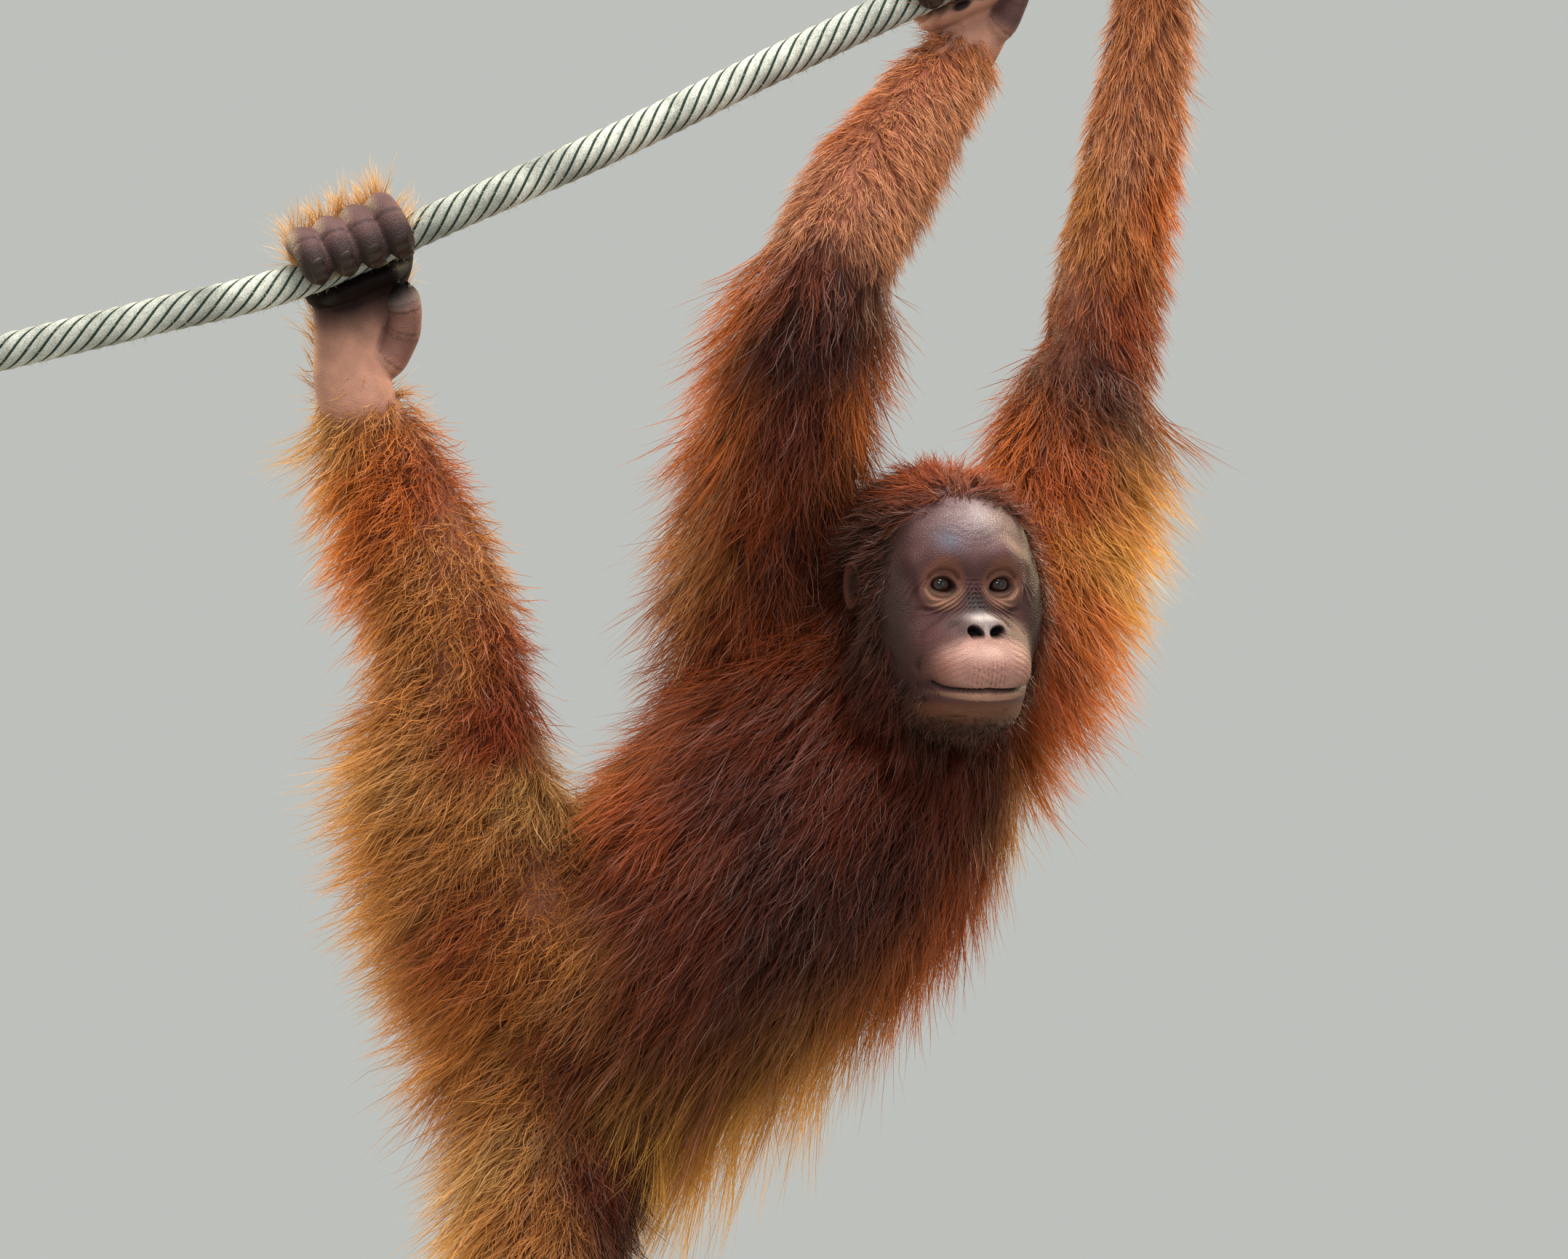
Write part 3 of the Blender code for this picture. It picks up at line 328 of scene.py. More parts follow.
def skin_material():
    """Ape skin, living: thin, pebbled and creased, with blood under it, greasy where it has gloss."""
    made, tree, shader, place = new_material("ape_skin")
    pebbles = add_node(
        tree, "ShaderNodeTexVoronoi", {"Vector": place, "Scale": per_metre(SKIN_PEBBLE), "Randomness": 0.9},
        feature="DISTANCE_TO_EDGE",
    )
    pores = add_node(
        tree, "ShaderNodeTexNoise", {"Vector": place, "Scale": per_metre(SKIN_PORE), "Detail": 3.0}
    )
    blotches = add_node(
        tree, "ShaderNodeTexNoise", {"Vector": place, "Scale": per_metre(SKIN_BLOTCH), "Detail": 4.0}
    )
    creases = add_node(
        tree, "ShaderNodeMapRange", {"Value": pebbles.outputs["Distance"], "From Max": 0.25}
    )
    relief = add_node(
        tree, "ShaderNodeMath", {0: creases.outputs["Result"], 1: pores.outputs["Fac"]}, operation="ADD"
    )
    bump = add_node(
        tree, "ShaderNodeBump", {"Height": relief.outputs["Value"], "Strength": 0.5, "Distance": 0.5 * MM}
    )
    gloss = add_node(tree, "ShaderNodeAttribute", attribute_name="gloss").outputs["Fac"]
    roughness = add_node(tree, "ShaderNodeMapRange", {"Value": gloss, "To Min": 0.62, "To Max": 0.36})
    shine = add_node(tree, "ShaderNodeMapRange", {"Value": gloss, "To Min": 0.1, "To Max": 0.55})
    set_inputs(tree, shader, {
        "Base Color": uneven_tone(tree, blotches, 0.82, 1.14), "Roughness": roughness.outputs["Result"],
        "Specular IOR Level": shine.outputs["Result"], "Subsurface Weight": 0.08, "Subsurface Scale": 4 * MM,
        "Subsurface Radius": (1.0, 0.35, 0.2), "Normal": bump.outputs["Normal"],
    })
    return made


def eye_material():
    """Eye, wet: a near-black iris in a dark brown white of the eye, under a clear smooth film."""
    made, tree, shader, place = new_material("wet_eye")
    veins = add_node(
        tree, "ShaderNodeTexNoise", {"Vector": place, "Scale": per_metre(EYE_VEIN), "Detail": 3.0}
    )
    set_inputs(tree, shader, {
        "Base Color": uneven_tone(tree, veins, 0.8, 1.25), "Roughness": 0.3, "IOR": 1.376,
        "Specular IOR Level": 0.05, "Coat Weight": 1.0, "Coat Roughness": 0.03,
    })
    return made


def nail_material():
    """Nail, grown horn: dark brown, smooth with fine ridges, a low shine."""
    made, tree, shader, place = new_material("dark_nail")
    ridges = add_node(
        tree, "ShaderNodeTexNoise", {"Vector": place, "Scale": per_metre(NAIL_RIDGE), "Detail": 2.0}
    ).outputs["Fac"]
    tint = add_node(
        tree, "ShaderNodeMix", {0: ridges, 6: rgba("#140d0b"), 7: rgba("#33241e")}, data_type="RGBA"
    )
    bump = add_node(tree, "ShaderNodeBump", {"Height": ridges, "Strength": 0.3, "Distance": 0.3 * MM})
    set_inputs(tree, shader, {
        "Base Color": tint.outputs[2], "Roughness": 0.42, "Specular IOR Level": 0.3,
        "Normal": bump.outputs["Normal"],
    })
    return made


def rope_material(name, dark, pale, fibre_mm):
    """Synthetic rope, laid from strands of fine yarn: matt and fuzzy, weathered paler in patches."""
    made, tree, shader, place = new_material(name)
    fibres = add_node(tree, "ShaderNodeTexNoise", {
        "Vector": place, "Scale": per_metre(fibre_mm), "Detail": 4.0, "Roughness": 0.65,
    }).outputs["Fac"]
    stains = add_node(
        tree, "ShaderNodeTexNoise", {"Vector": place, "Scale": per_metre(ROPE_STAIN), "Detail": 4.0}
    )
    share = add_node(tree, "ShaderNodeMath", {0: fibres, 1: stains.outputs["Fac"]}, operation="MULTIPLY")
    spread = add_node(
        tree, "ShaderNodeMapRange", {"Value": share.outputs["Value"], "From Min": 0.14, "From Max": 0.36},
    )
    tint = add_node(
        tree, "ShaderNodeMix", {0: spread.outputs["Result"], 6: rgba(dark), 7: rgba(pale)}, data_type="RGBA"
    )
    bump = add_node(tree, "ShaderNodeBump", {"Height": fibres, "Strength": 0.8, "Distance": 0.8 * MM})
    set_inputs(tree, shader, {
        "Base Color": tint.outputs[2], "Roughness": 0.92, "Normal": bump.outputs["Normal"],
        "Sheen Weight": 0.2, "Specular IOR Level": 0.2,
    })
    return made


def stand_base_material():
    """Painted board: satin black paint over smooth board, with the faint marks of a roller."""
    made, tree, shader, place = new_material("satin_black_paint")
    roller = add_node(
        tree, "ShaderNodeTexNoise", {"Vector": place, "Scale": per_metre(ROLLER_MARK), "Detail": 3.0}
    )
    wear = add_node(
        tree, "ShaderNodeTexNoise", {"Vector": place, "Scale": per_metre(PAINT_WEAR), "Detail": 5.0}
    ).outputs["Fac"]
    rough = add_node(tree, "ShaderNodeMapRange", {
        "Value": wear, "From Min": 0.35, "From Max": 0.65, "To Min": 0.34, "To Max": 0.5,
    })
    tint = add_node(
        tree, "ShaderNodeMix", {0: wear, 6: rgba("#17181a"), 7: rgba("#222427")}, data_type="RGBA"
    )
    bump = add_node(
        tree, "ShaderNodeBump", {"Height": roller.outputs["Fac"], "Strength": 0.15, "Distance": 0.3 * MM}
    )
    set_inputs(tree, shader, {
        "Base Color": tint.outputs[2], "Roughness": rough.outputs["Result"],
        "Normal": bump.outputs["Normal"],
    })
    return made


def stand_rod_material():
    """Stainless steel rod, drawn and brushed: fine scratches run round it and spread the highlight."""
    made, tree, shader, place = new_material("brushed_steel")
    round_it = per_metre(BRUSH_LENGTH)
    stretched = add_node(
        tree, "ShaderNodeMapping", {"Vector": place, "Scale": (round_it, round_it, per_metre(BRUSH_WIDTH))}
    )
    brushing = add_node(
        tree, "ShaderNodeTexNoise", {"Vector": stretched.outputs["Vector"], "Scale": 1.0, "Detail": 3.0}
    ).outputs["Fac"]
    rough = add_node(tree, "ShaderNodeMapRange", {
        "Value": brushing, "From Min": 0.3, "From Max": 0.7, "To Min": 0.24, "To Max": 0.4,
    })
    bump = add_node(tree, "ShaderNodeBump", {"Height": brushing, "Strength": 0.1, "Distance": 0.1 * MM})
    set_inputs(tree, shader, {
        "Base Color": rgba("#9a9c9e"), "Metallic": 1.0, "Roughness": rough.outputs["Result"],
        "Normal": bump.outputs["Normal"],
    })
    return made


def smooth_row(rows, count):
    """Points at even lengths along a smooth curve through the rows, with their other columns."""
    data = np.array(rows, float)
    steps = np.linalg.norm(np.diff(data[:, :3], axis=0), axis=1)
    knots = np.concatenate([[0], np.cumsum(steps)])
    slopes = np.gradient(data, knots, axis=0)
    found = []
    for s in np.linspace(0, knots[-1], count):
        i = min(int(np.searchsorted(knots, s, side="right")) - 1, len(steps) - 1)
        h = steps[i]
        t = (s - knots[i]) / h
        found.append(
            (2 * t**3 - 3 * t**2 + 1) * data[i]
            + (t**3 - 2 * t**2 + t) * h * slopes[i]
            + (3 * t**2 - 2 * t**3) * data[i + 1]
            + (t**3 - t**2) * h * slopes[i + 1]
        )
    return np.array(found)


def axes_along(points):
    """Unit vectors of a path at each point: along it, across the front view, and deep."""
    along = unit(np.gradient(points, axis=0))
    across = unit(np.cross(along, (0, 1, 0)))
    return along, across, unit(np.cross(across, along))


def with_domes(rows):
    """Adds short rounded ends to a run of sections."""
    def dome(end, inner):
        outward = unit(end[:3] - inner[:3]) * end[3:].mean()
        shares = ((0.34, 0.94), (0.62, 0.76), (0.85, 0.48), (0.97, 0.2))
        return [np.concatenate([end[:3] + outward * lift, end[3:] * width]) for lift, width in shares]

    return np.array([*dome(rows[0], rows[1])[::-1], *rows, *dome(rows[-1], rows[-2])])


def net_faces(rings, sides):
    """Four-cornered faces between rings of corners, each ring closed on itself."""
    faces = []
    for i in range(rings - 1):
        for k in range(sides):
            a, b = i * sides + k, i * sides + (k + 1) % sides
            faces.append((a, b, b + sides, a + sides))
    return faces


def tube_mesh(points, first, second, sides):
    """Corners and faces of a closed tube; first and second are its ring's half axes at each point."""
    angles = np.linspace(0, 2 * math.pi, sides, endpoint=False)
    rings = (
        points[:, None] + first[:, None] * np.cos(angles)[None, :, None]
        + second[:, None] * np.sin(angles)[None, :, None]
    )
    corners = rings.reshape(-1, 3)
    faces = net_faces(len(points), sides)
    faces.append(tuple(range(sides))[::-1])
    faces.append(tuple(range(len(corners) - sides, len(corners))))
    return corners, faces


def mesh_object(name, corners, faces):
    """An object from corners in millimetres, with its faces turned outward and shaded smooth."""
    mesh = bpy.data.meshes.new(name)
    mesh.from_pydata([tuple(c) for c in np.asarray(corners) * MM], [], faces)
    bm = bmesh.new()
    bm.from_mesh(mesh)
    bmesh.ops.recalc_face_normals(bm, faces=bm.faces)
    bm.to_mesh(mesh)
    bm.free()
    mesh.shade_smooth()
    made = bpy.data.objects.new(name, mesh)
    bpy.context.scene.collection.objects.link(made)
    return made


def weld(made):
    """Joins corners that share a place, as at the poles of a net, and turns the faces outward."""
    bm = bmesh.new()
    bm.from_mesh(made.data)
    bmesh.ops.remove_doubles(bm, verts=bm.verts, dist=0.01 * MM)
    bmesh.ops.recalc_face_normals(bm, faces=bm.faces)
    bm.to_mesh(made.data)
    bm.free()


def apply_modifiers(made):
    """Turns an object's modifiers into its mesh."""
    bpy.context.view_layer.update()
    graph = bpy.context.evaluated_depsgraph_get()
    mesh = bpy.data.meshes.new_from_object(made.evaluated_get(graph))
    made.modifiers.clear()
    made.data = mesh


def joined(name, parts):
    """One object from several, which are removed."""
    corners, faces = [], []
    for part in parts:
        start = len(corners)
        corners += [v.co / MM for v in part.data.vertices]
        faces += [tuple(start + k for k in p.vertices) for p in part.data.polygons]
        bpy.data.objects.remove(part)
    return mesh_object(name, corners, faces)


def fused(name, parts, voxel_mm, smoothing):
    """Several overlapping forms made into one even skin."""
    made = joined(name, parts)
    remesh = made.modifiers.new("skin", "REMESH")
    remesh.mode = "VOXEL"
    remesh.voxel_size = voxel_mm * MM
    soften = made.modifiers.new("soften", "SMOOTH")
    soften.factor = 0.5
    soften.iterations = smoothing
    apply_modifiers(made)
    return made


def skin_rows(rows):
    """Stations of the bare skin, under the coat."""
    found = smooth_row(rows, 24)
    radii = found[:, 3:]
    depth = COAT_DEPTH * np.clip((radii - BARE_RADIUS) / (FULL_COAT_RADIUS - BARE_RADIUS), 0.06, 1)
    found[:, 3:] = radii - depth
    return found


def body_part(name):
    """The bare form of a trunk or limb part, with rounded ends."""
    rows = with_domes(skin_rows(BODY[name]))
    _, across, deep = axes_along(rows[:, :3])
    corners, faces = tube_mesh(rows[:, :3], across * rows[:, 3:4], deep * rows[:, 4:5], 40)
    return mesh_object(name, corners, faces)


def ellipsoid_distance(points, centre, radii):
    """Distance to an ellipsoid's surface, nearly, and below zero inside."""
    scaled = (points - centre) / radii
    k0 = np.linalg.norm(scaled, axis=1)
    k1 = np.linalg.norm(scaled / radii, axis=1)
    return k0 * (k0 - 1) / np.maximum(k1, 1e-9)


def tapered_distance(points, start, start_radius, end, end_radius):
    """Distance to the surface of a round-ended bar whose radius changes evenly along it."""
    axis = end - start
    share = np.clip((points - start) @ axis / (axis @ axis), 0, 1)
    radius = start_radius + (end_radius - start_radius) * share
    return np.linalg.norm(points - start - share[:, None] * axis, axis=1) - radius


def blend_min(a, b, reach):
    """Two forms' distances as one form's, with a soft fillet where they meet."""
    h = np.maximum(reach - np.abs(a - b), 0) / reach
    return np.minimum(a, b) - h * h * reach / 4


def blend_cut(a, b, reach):
    """A form's distance with another's taken out of it, softly."""
    return -blend_min(-a, b, reach)


def head_distance(points):
    """Distance to the head's surface, below zero inside, for points in head millimetres."""
    p = np.array(points, float)
    p[:, 0] = np.abs(p[:, 0])
    found = None
    for centre, radii, reach in HEAD_FORMS:
        form = ellipsoid_distance(p, np.array(centre, float), np.array(radii, float))
        found = form if found is None else blend_min(found, form, reach)
    start, start_radius, end, end_radius, reach = MUZZLE_RISE
    rise = tapered_distance(p, np.array(start, float), start_radius, np.array(end, float), end_radius)
    found = blend_min(found, rise, reach)
    centre, radius, reach = EYE_HOLLOW
    found = blend_cut(found, np.linalg.norm(p - np.array(centre), axis=1) - radius, reach)
    inner, middle, outer, radius, reach = BROW
    for start, end in ((inner, middle), (middle, outer)):
        ridge = tapered_distance(p, np.array(start, float), radius, np.array(end, float), radius)
        found = blend_min(found, ridge, reach)
    centre, ring, tube_radius, reach = EYE_RIM
    q = p - np.array(centre)
    around = np.hypot(q[:, 0], q[:, 2] * 1.12) - ring
    found = blend_min(found, np.hypot(around, q[:, 1]) - tube_radius, reach)
    centre, radii, reach = NOSE_WING
    found = blend_min(found, ellipsoid_distance(p, np.array(centre, float), np.array(radii, float)), reach)
    start, end, radius, reach = NOSE_SEPTUM
    septum = tapered_distance(p, np.array(start, float), radius, np.array(end, float), radius)
    found = blend_min(found, septum, reach)
    centre, radii, reach = LOWER_LIP
    drawn = p - np.array(centre, float)
    drawn[:, 2] -= (p[:, 0] / 40) ** 2 * 5
    found = blend_min(found, ellipsoid_distance(drawn, np.zeros(3), np.array(radii, float)), reach)
    lids = np.linalg.norm(p - np.array(EYE_OFFSET), axis=1) - EYE_RADIUS - LID_THICKNESS
    found = blend_min(found, lids, 4)
    return found + face_relief(p)


def mouth_distance(p):
    """How far round the face a place is from the mouth line, at the lips' distance from the middle."""
    found = np.full(len(p), 1e3)
    line = unit(np.array(MOUTH_LINE, float)) * MOUTH_REACH
    round_face = unit(p) * MOUTH_REACH
    for start, end in zip(line[2:], line[3:]):
        found = np.minimum(found, tapered_distance(round_face, start, 0.0, end, 0.0))
    return found


def nostril_distance(p):
    """Distance to a nostril, which leans in towards its lower end. x is already mirrored."""
    q = p - np.array(NOSTRIL[0])
    sine, cosine = math.sin(NOSTRIL_LEAN), math.cos(NOSTRIL_LEAN)
    q = np.column_stack([q[:, 0] * cosine + q[:, 2] * sine, q[:, 1], q[:, 2] * cosine - q[:, 0] * sine])
    return ellipsoid_distance(q, np.zeros(3), np.array(NOSTRIL[1], float))


def eye_slit_distance(p):
    """Distance to the opening between the lids, which tapers to its corners. x is already mirrored."""
    q = p - np.array(EYE_SLIT[0])
    q[:, 2] += 0.012 * q[:, 0] ** 2 - 0.08 * q[:, 0]
    return ellipsoid_distance(q, np.zeros(3), np.array(EYE_SLIT[1], float))


def face_creases(p):
    """Folds and fine creases of the face, in millimetres into the skin. x is already mirrored."""
    x, y, z = p.T
    across, over = x - EYE_OFFSET.x, z - EYE_OFFSET.z
    eye = np.hypot(across, over * 1.1)
    below = smooth_step(3, -7, over)
    wander = 0.5 * np.sin(x * 0.37) + 0.4 * np.sin(z * 0.53 + 1)
    bags = np.sin((eye - 13.0 + 0.03 * across * over) * 2 * math.pi / 3.7 + wander)
    bags *= 0.62 * smooth_step(11.5, 14, eye) * smooth_step(36, 20, eye) * (0.12 + 0.88 * below)
    lid_fold = fading(np.hypot(across, (over - 1.5) * 1.25) - 11.8, 1.3) * 1.3 * smooth_step(0, 5, over)
    under_fold = fading(np.hypot(across, (over - 0.5) * 1.12) - 12.4, 1.2) * smooth_step(-1, -5, over)
    lip_lines = np.sin(x * 2 * math.pi / 3.3 + 0.9 * np.sin(z * 0.55))
    lip_lines *= 0.3 + 0.25 * np.sin(z * 0.8 + x * 1.7)
    lip_lines *= smooth_step(19, 8, x) * smooth_step(-42, -50, z) * smooth_step(-69, -63, z)
    side_lines = np.sin((z + 0.5 * x) * 2 * math.pi / 4.6 + wander) * 0.2
    side_lines *= smooth_step(14, 22, x) * smooth_step(48, 38, x)
    side_lines *= smooth_step(-20, -32, z) * smooth_step(-66, -58, z)
    muzzle_side = tapered_distance(p, np.array((16.0, 80, -12)), 0.0, np.array((44.0, 66, -50)), 0.0)
    muzzle_fold = fading(muzzle_side, 4.0) * 1.7
    cheek_line = tapered_distance(p, np.array((12.0, 74, 0)), 0.0, np.array((40.0, 62, -26)), 0.0)
    cheek_fold = fading(cheek_line, 2.6) * 0.9
    brow_lines = np.sin((z - 0.015 * x * x) * 2 * math.pi / 5.4 + 1.5 * wander) * 0.12
    brow_lines *= smooth_step(36, 42, z) * smooth_step(70, 56, z) * smooth_step(40, 26, x)
    bridge = np.sin(z * 2 * math.pi / 3.4) * 0.3 * smooth_step(9, 4, x)
    bridge *= smooth_step(-10, -4, z) * smooth_step(22, 12, z)
    chin = np.sin((z + 0.004 * x * x) * 2 * math.pi / 5.0 + wander) * 0.25 * smooth_step(-80, -84, z)
    mouth_corner = fading(np.hypot(x - 39, z + 62.5), 4.0) * 1.4
    near_eye = bags + lid_fold + under_fold
    near_mouth = lip_lines + side_lines + muzzle_fold + cheek_fold + mouth_corner
    return smooth_step(26, 50, y) * (near_eye + near_mouth + brow_lines + bridge + chin)


def face_relief(p):
    """Creases, and the openings of the mouth, nostrils and eyes. x is already mirrored."""
    groove = smooth_step(2.3, 0.3, mouth_distance(p)) * 4.2
    groove *= smooth_step(42, 36, p[:, 0]) * smooth_step(20, 40, p[:, 1])
    pit = smooth_step(0.9, -1.6, nostril_distance(p)) * 8
    opening = smooth_step(0.5, -0.5, eye_slit_distance(p)) * 7
    return face_creases(p) + groove + pit + opening


def to_head_surface(directions):
    """How far the head's surface is along each direction from the head's middle."""
    near = np.full(len(directions), 20.0)
    far = np.full(len(directions), 150.0)
    for _ in range(22):
        middle = (near + far) / 2
        inside = head_distance(directions * middle[:, None]) < 0
        near = np.where(inside, middle, near)
        far = np.where(inside, far, middle)
    return near


def head_matrix():
    """Head millimetres to world millimetres."""
    sine, cosine = math.sin(HEAD_TURN), math.cos(HEAD_TURN)
    left, forward = Vector((cosine, sine, 0)), Vector((sine, -cosine, 0))
    turned = Matrix((left, forward, Vector((0, 0, 1)))).transposed().to_4x4()
    return Matrix.Translation(HEAD_CENTRE) @ turned


HEAD_TO_WORLD = np.array(head_matrix())
WORLD_TO_HEAD = np.array(head_matrix().inverted())


def moved(matrix, points):
    """Places in another frame."""
    return points @ matrix[:3, :3].T + matrix[:3, 3]


def turned(matrix, vectors):
    """Directions in another frame."""
    return vectors @ matrix[:3, :3].T


def head_skin():
    """A fine net of directions, closest on the face, drawn onto the head's surface."""
    rings, segments = 220, 290
    rise = np.linspace(0, math.pi, rings + 1)[1:-1]
    turn = np.linspace(0, 2 * math.pi, segments, endpoint=False)
    rise, turn = np.meshgrid(rise, turn, indexing="ij")
    net = np.stack([np.sin(rise) * np.cos(turn), np.cos(rise), np.sin(rise) * np.sin(turn)], axis=-1)
    net = np.vstack([net.reshape(-1, 3), [(0, 1, 0), (0, -1, 0)]])
    net[:, 1] += 0.55
    net[:, 2] -= 0.1
    directions = unit(net)
    corners = directions * to_head_surface(directions)[:, None]
    faces = net_faces(rings - 1, segments)
    front, back = len(corners) - 2, len(corners) - 1
    last = (rings - 2) * segments
    for k in range(segments):
        faces.append((front, (k + 1) % segments, k))
        faces.append((back, last + k, last + (k + 1) % segments))
    return mesh_object("head_skin", moved(HEAD_TO_WORLD, corners), faces)


# An ear from its middle outward: share of its half width, and how far it stands off the head there.
EAR_PROFILE = [
    (0.0, 1.0), (0.25, 1.2), (0.45, 2.8), (0.6, 5.0), (0.74, 6.2), (0.86, 8.2), (0.96, 9.2), (1.03, 8.8),
    (1.06, 7.4), (1.02, 5.4), (0.92, 2.5), (0.84, -2.0), (0.8, -9.0),
]


def ear_skin(side):
    """A small cupped ear with a rolled rim, an inner ridge and a lobe."""
    turns = np.linspace(0, 2 * math.pi, 56, endpoint=False)
    corners = []
    for share, lift in EAR_PROFILE:
        for turn in turns:
            up, ahead = math.sin(turn), math.cos(turn)
            rim = 1 - 0.1 * math.exp(-((turn - 0.3) ** 2) / 0.3)
            height = lift * (1 - 0.5 * max(ahead, 0) ** 2)
            ridge = 2.4 * math.exp(-(((share - 0.52) / 0.12) ** 2)) * max(-ahead, 0)
            corners.append((
                side * (EAR_MIDDLE.x - 4 + height + ridge),
                EAR_MIDDLE.y + EAR_DEPTH * share * ahead * rim * (1 - 0.18 * max(-up, 0)),
                EAR_MIDDLE.z + EAR_HEIGHT * share * up,
            ))
    faces = net_faces(len(EAR_PROFILE), len(turns))
    faces.append(tuple(range(len(corners) - len(turns), len(corners))))
    made = mesh_object(f"ear_skin_{side}", moved(HEAD_TO_WORLD, np.array(corners)), faces)
    weld(made)
    return made


def rope_at(x):
    """(point on the rope's middle line, its direction) at a place along the front view."""
    route = smooth_row(ROPE_ROUTE, 240)
    i = int(np.argmin(np.abs(route[:, 0] - x)))
    return Vector(route[i]), Vector(route[i + 1] - route[i - 1]).normalized()


def digit(points, radii):
    """A finger or toe along given points: swollen joints, creases across them and a round tip."""
    sides, rings = 18, 54
    rows = smooth_row([(*p, r, r) for p, r in zip(points, radii)], rings)
    path, radius = rows[:, :3], rows[:, 3]
    share = np.linspace(0, 1, rings)
    for joint in JOINTS_ALONG_DIGIT:
        radius = radius * (1 + 0.09 * fading(share - joint, 0.07))
        for crease in (-0.022, 0.022):
            radius = radius * (1 - 0.07 * fading(share - joint - crease, 0.011))
    tip = np.sqrt(np.clip(1 - ((share - 0.9) / 0.1) ** 2, 0.02, 1))
    radius = np.maximum(radius, radii[-2] * 0.9) * np.where(share > 0.9, tip, 1)
    guide = unit(np.cross(path[-1] - path[0], path[rings // 2] - path[0]))
    along = unit(np.gradient(path, axis=0))
    first = unit(guide - along * (along @ guide)[:, None])
    second = np.cross(along, first)
    corners, faces = tube_mesh(path, first * radius[:, None], second * radius[:, None], sides)
    return mesh_object("digit", corners, faces), path, along


def grip_frame(grip_x):
    """The rope's middle at a place, the way square to it towards the front, and square to both, up."""
    centre, along = rope_at(grip_x)
    front = (Vector((0, -1, 0)) - along * -along.y).normalized()
    up = along.cross(front)
    return centre, front, up if up.z > 0 else -up


def pad_under_rope(grips):
    """The flesh of the palm that bulges forward under the rope, from the first digit to the last."""
    first, last = grips[0][0] - 3, grips[-1][0] + 1
    points, wide, deep = [], [], []
    for share in np.linspace(0, 1, 13):
        centre, front, up = grip_frame(first + (last - first) * share)
        size = math.sqrt(max(1 - (2 * share - 1) ** 4, 0.1))
        back = PAD_REACH - PAD_HALF_DEPTH * size
        points.append(centre - front * back - up * (ROPE_RADIUS + PAD_BELOW))
        wide.append(front * PAD_HALF_DEPTH * size)
        deep.append(up * PAD_HALF_HEIGHT * size)
    corners, faces = tube_mesh(np.array(points), np.array(wide), np.array(deep), 24)
    return mesh_object("pad", corners, faces)


def gripping_points(grip_x, root, radius, end):
    """A digit's route from its root behind the rope, over the top and down the front of it."""
    centre, front, up = grip_frame(grip_x)
    reach = ROPE_RADIUS + GRIP_SLACK + radius
    points = [Vector(root)]
    for angle in np.radians(np.linspace(GRIP_START, end, 7)):
        points.append(centre + (front * math.cos(angle) + up * math.sin(angle)) * reach)
    return points


def relaxed_points(number):
    """A loose toe's route: forward, then curling down and back at its tip."""
    place = Vector(LOOSE_TOE_ROOT)
    place += Vector((LOOSE_TOE_STEP * number, 0, -LOOSE_TOE_BOW * abs(number - 1.5)))
    points, pitch = [], math.radians(LOOSE_TOE_PITCH)
    for _ in LOOSE_TAPER:
        points.append(place.copy())
        step = LOOSE_TOE_LENGTH / (len(LOOSE_TAPER) - 1)
        place += Vector((0, -math.cos(pitch), math.sin(pitch))) * step
        pitch -= math.radians(LOOSE_TOE_CURL)
    return points


def nail_plate(path, along, radius):
    """A curved nail on the back of a digit's last joint, the side away from its curl."""
    last = len(path) - 1
    away = path - path[len(path) // 4 :].mean(axis=0)
    outward = unit(away - along * (away * along).sum(axis=1, keepdims=True))
    corners, faces = [], []
    rows, columns = 9, 9
    for lift in (0.0, -0.8):
        for i in range(rows):
            t = i / (rows - 1)
            at = last - 8 + round(t * 6)
            for k in range(columns):
                spread = math.radians(-40 + 80 * k / (columns - 1))
                side = np.cross(along[at], outward[at])
                normal = outward[at] * math.cos(spread) + side * math.sin(spread)
                thick = radius * (0.95 - 0.12 * t) + 0.9 + lift
                if i in (0, rows - 1) or k in (0, columns - 1):
                    thick -= 0.7
                bow = 0.5 * (2 * k / (columns - 1) - 1) ** 2
                corners.append(path[at] + normal * thick + along[at] * t * (0.8 - bow))
    half = rows * columns
    for i in range(rows - 1):
        for k in range(columns - 1):
            a = i * columns + k
            faces.append((a, a + 1, a + columns + 1, a + columns))
            faces.append((half + a, half + a + columns, half + a + columns + 1, half + a + 1))
    rim = list(range(columns))
    rim += [i * columns + columns - 1 for i in range(1, rows)]
    rim += [(rows - 1) * columns + k for k in range(columns - 2, -1, -1)]
    rim += [i * columns for i in range(rows - 2, 0, -1)]
    for a, b in zip(rim, rim[1:] + rim[:1]):
        faces.append((a, half + a, half + b, b))
    return mesh_object("nail", corners, faces)


# Colours of bare skin.
PALE_SOLE = "#b08270"
DARK_DIGIT = "#5a4040"
DARK_TIP = "#1e1413"
THUMB_SHADE = "#7d5850"
THUMB_TIP = "#a08c88"
BARE_BODY = "#a06a58"

# Every digit built so far: its middle line, thickness and its skin's colours before and at its tip.
DIGIT_PATHS = []


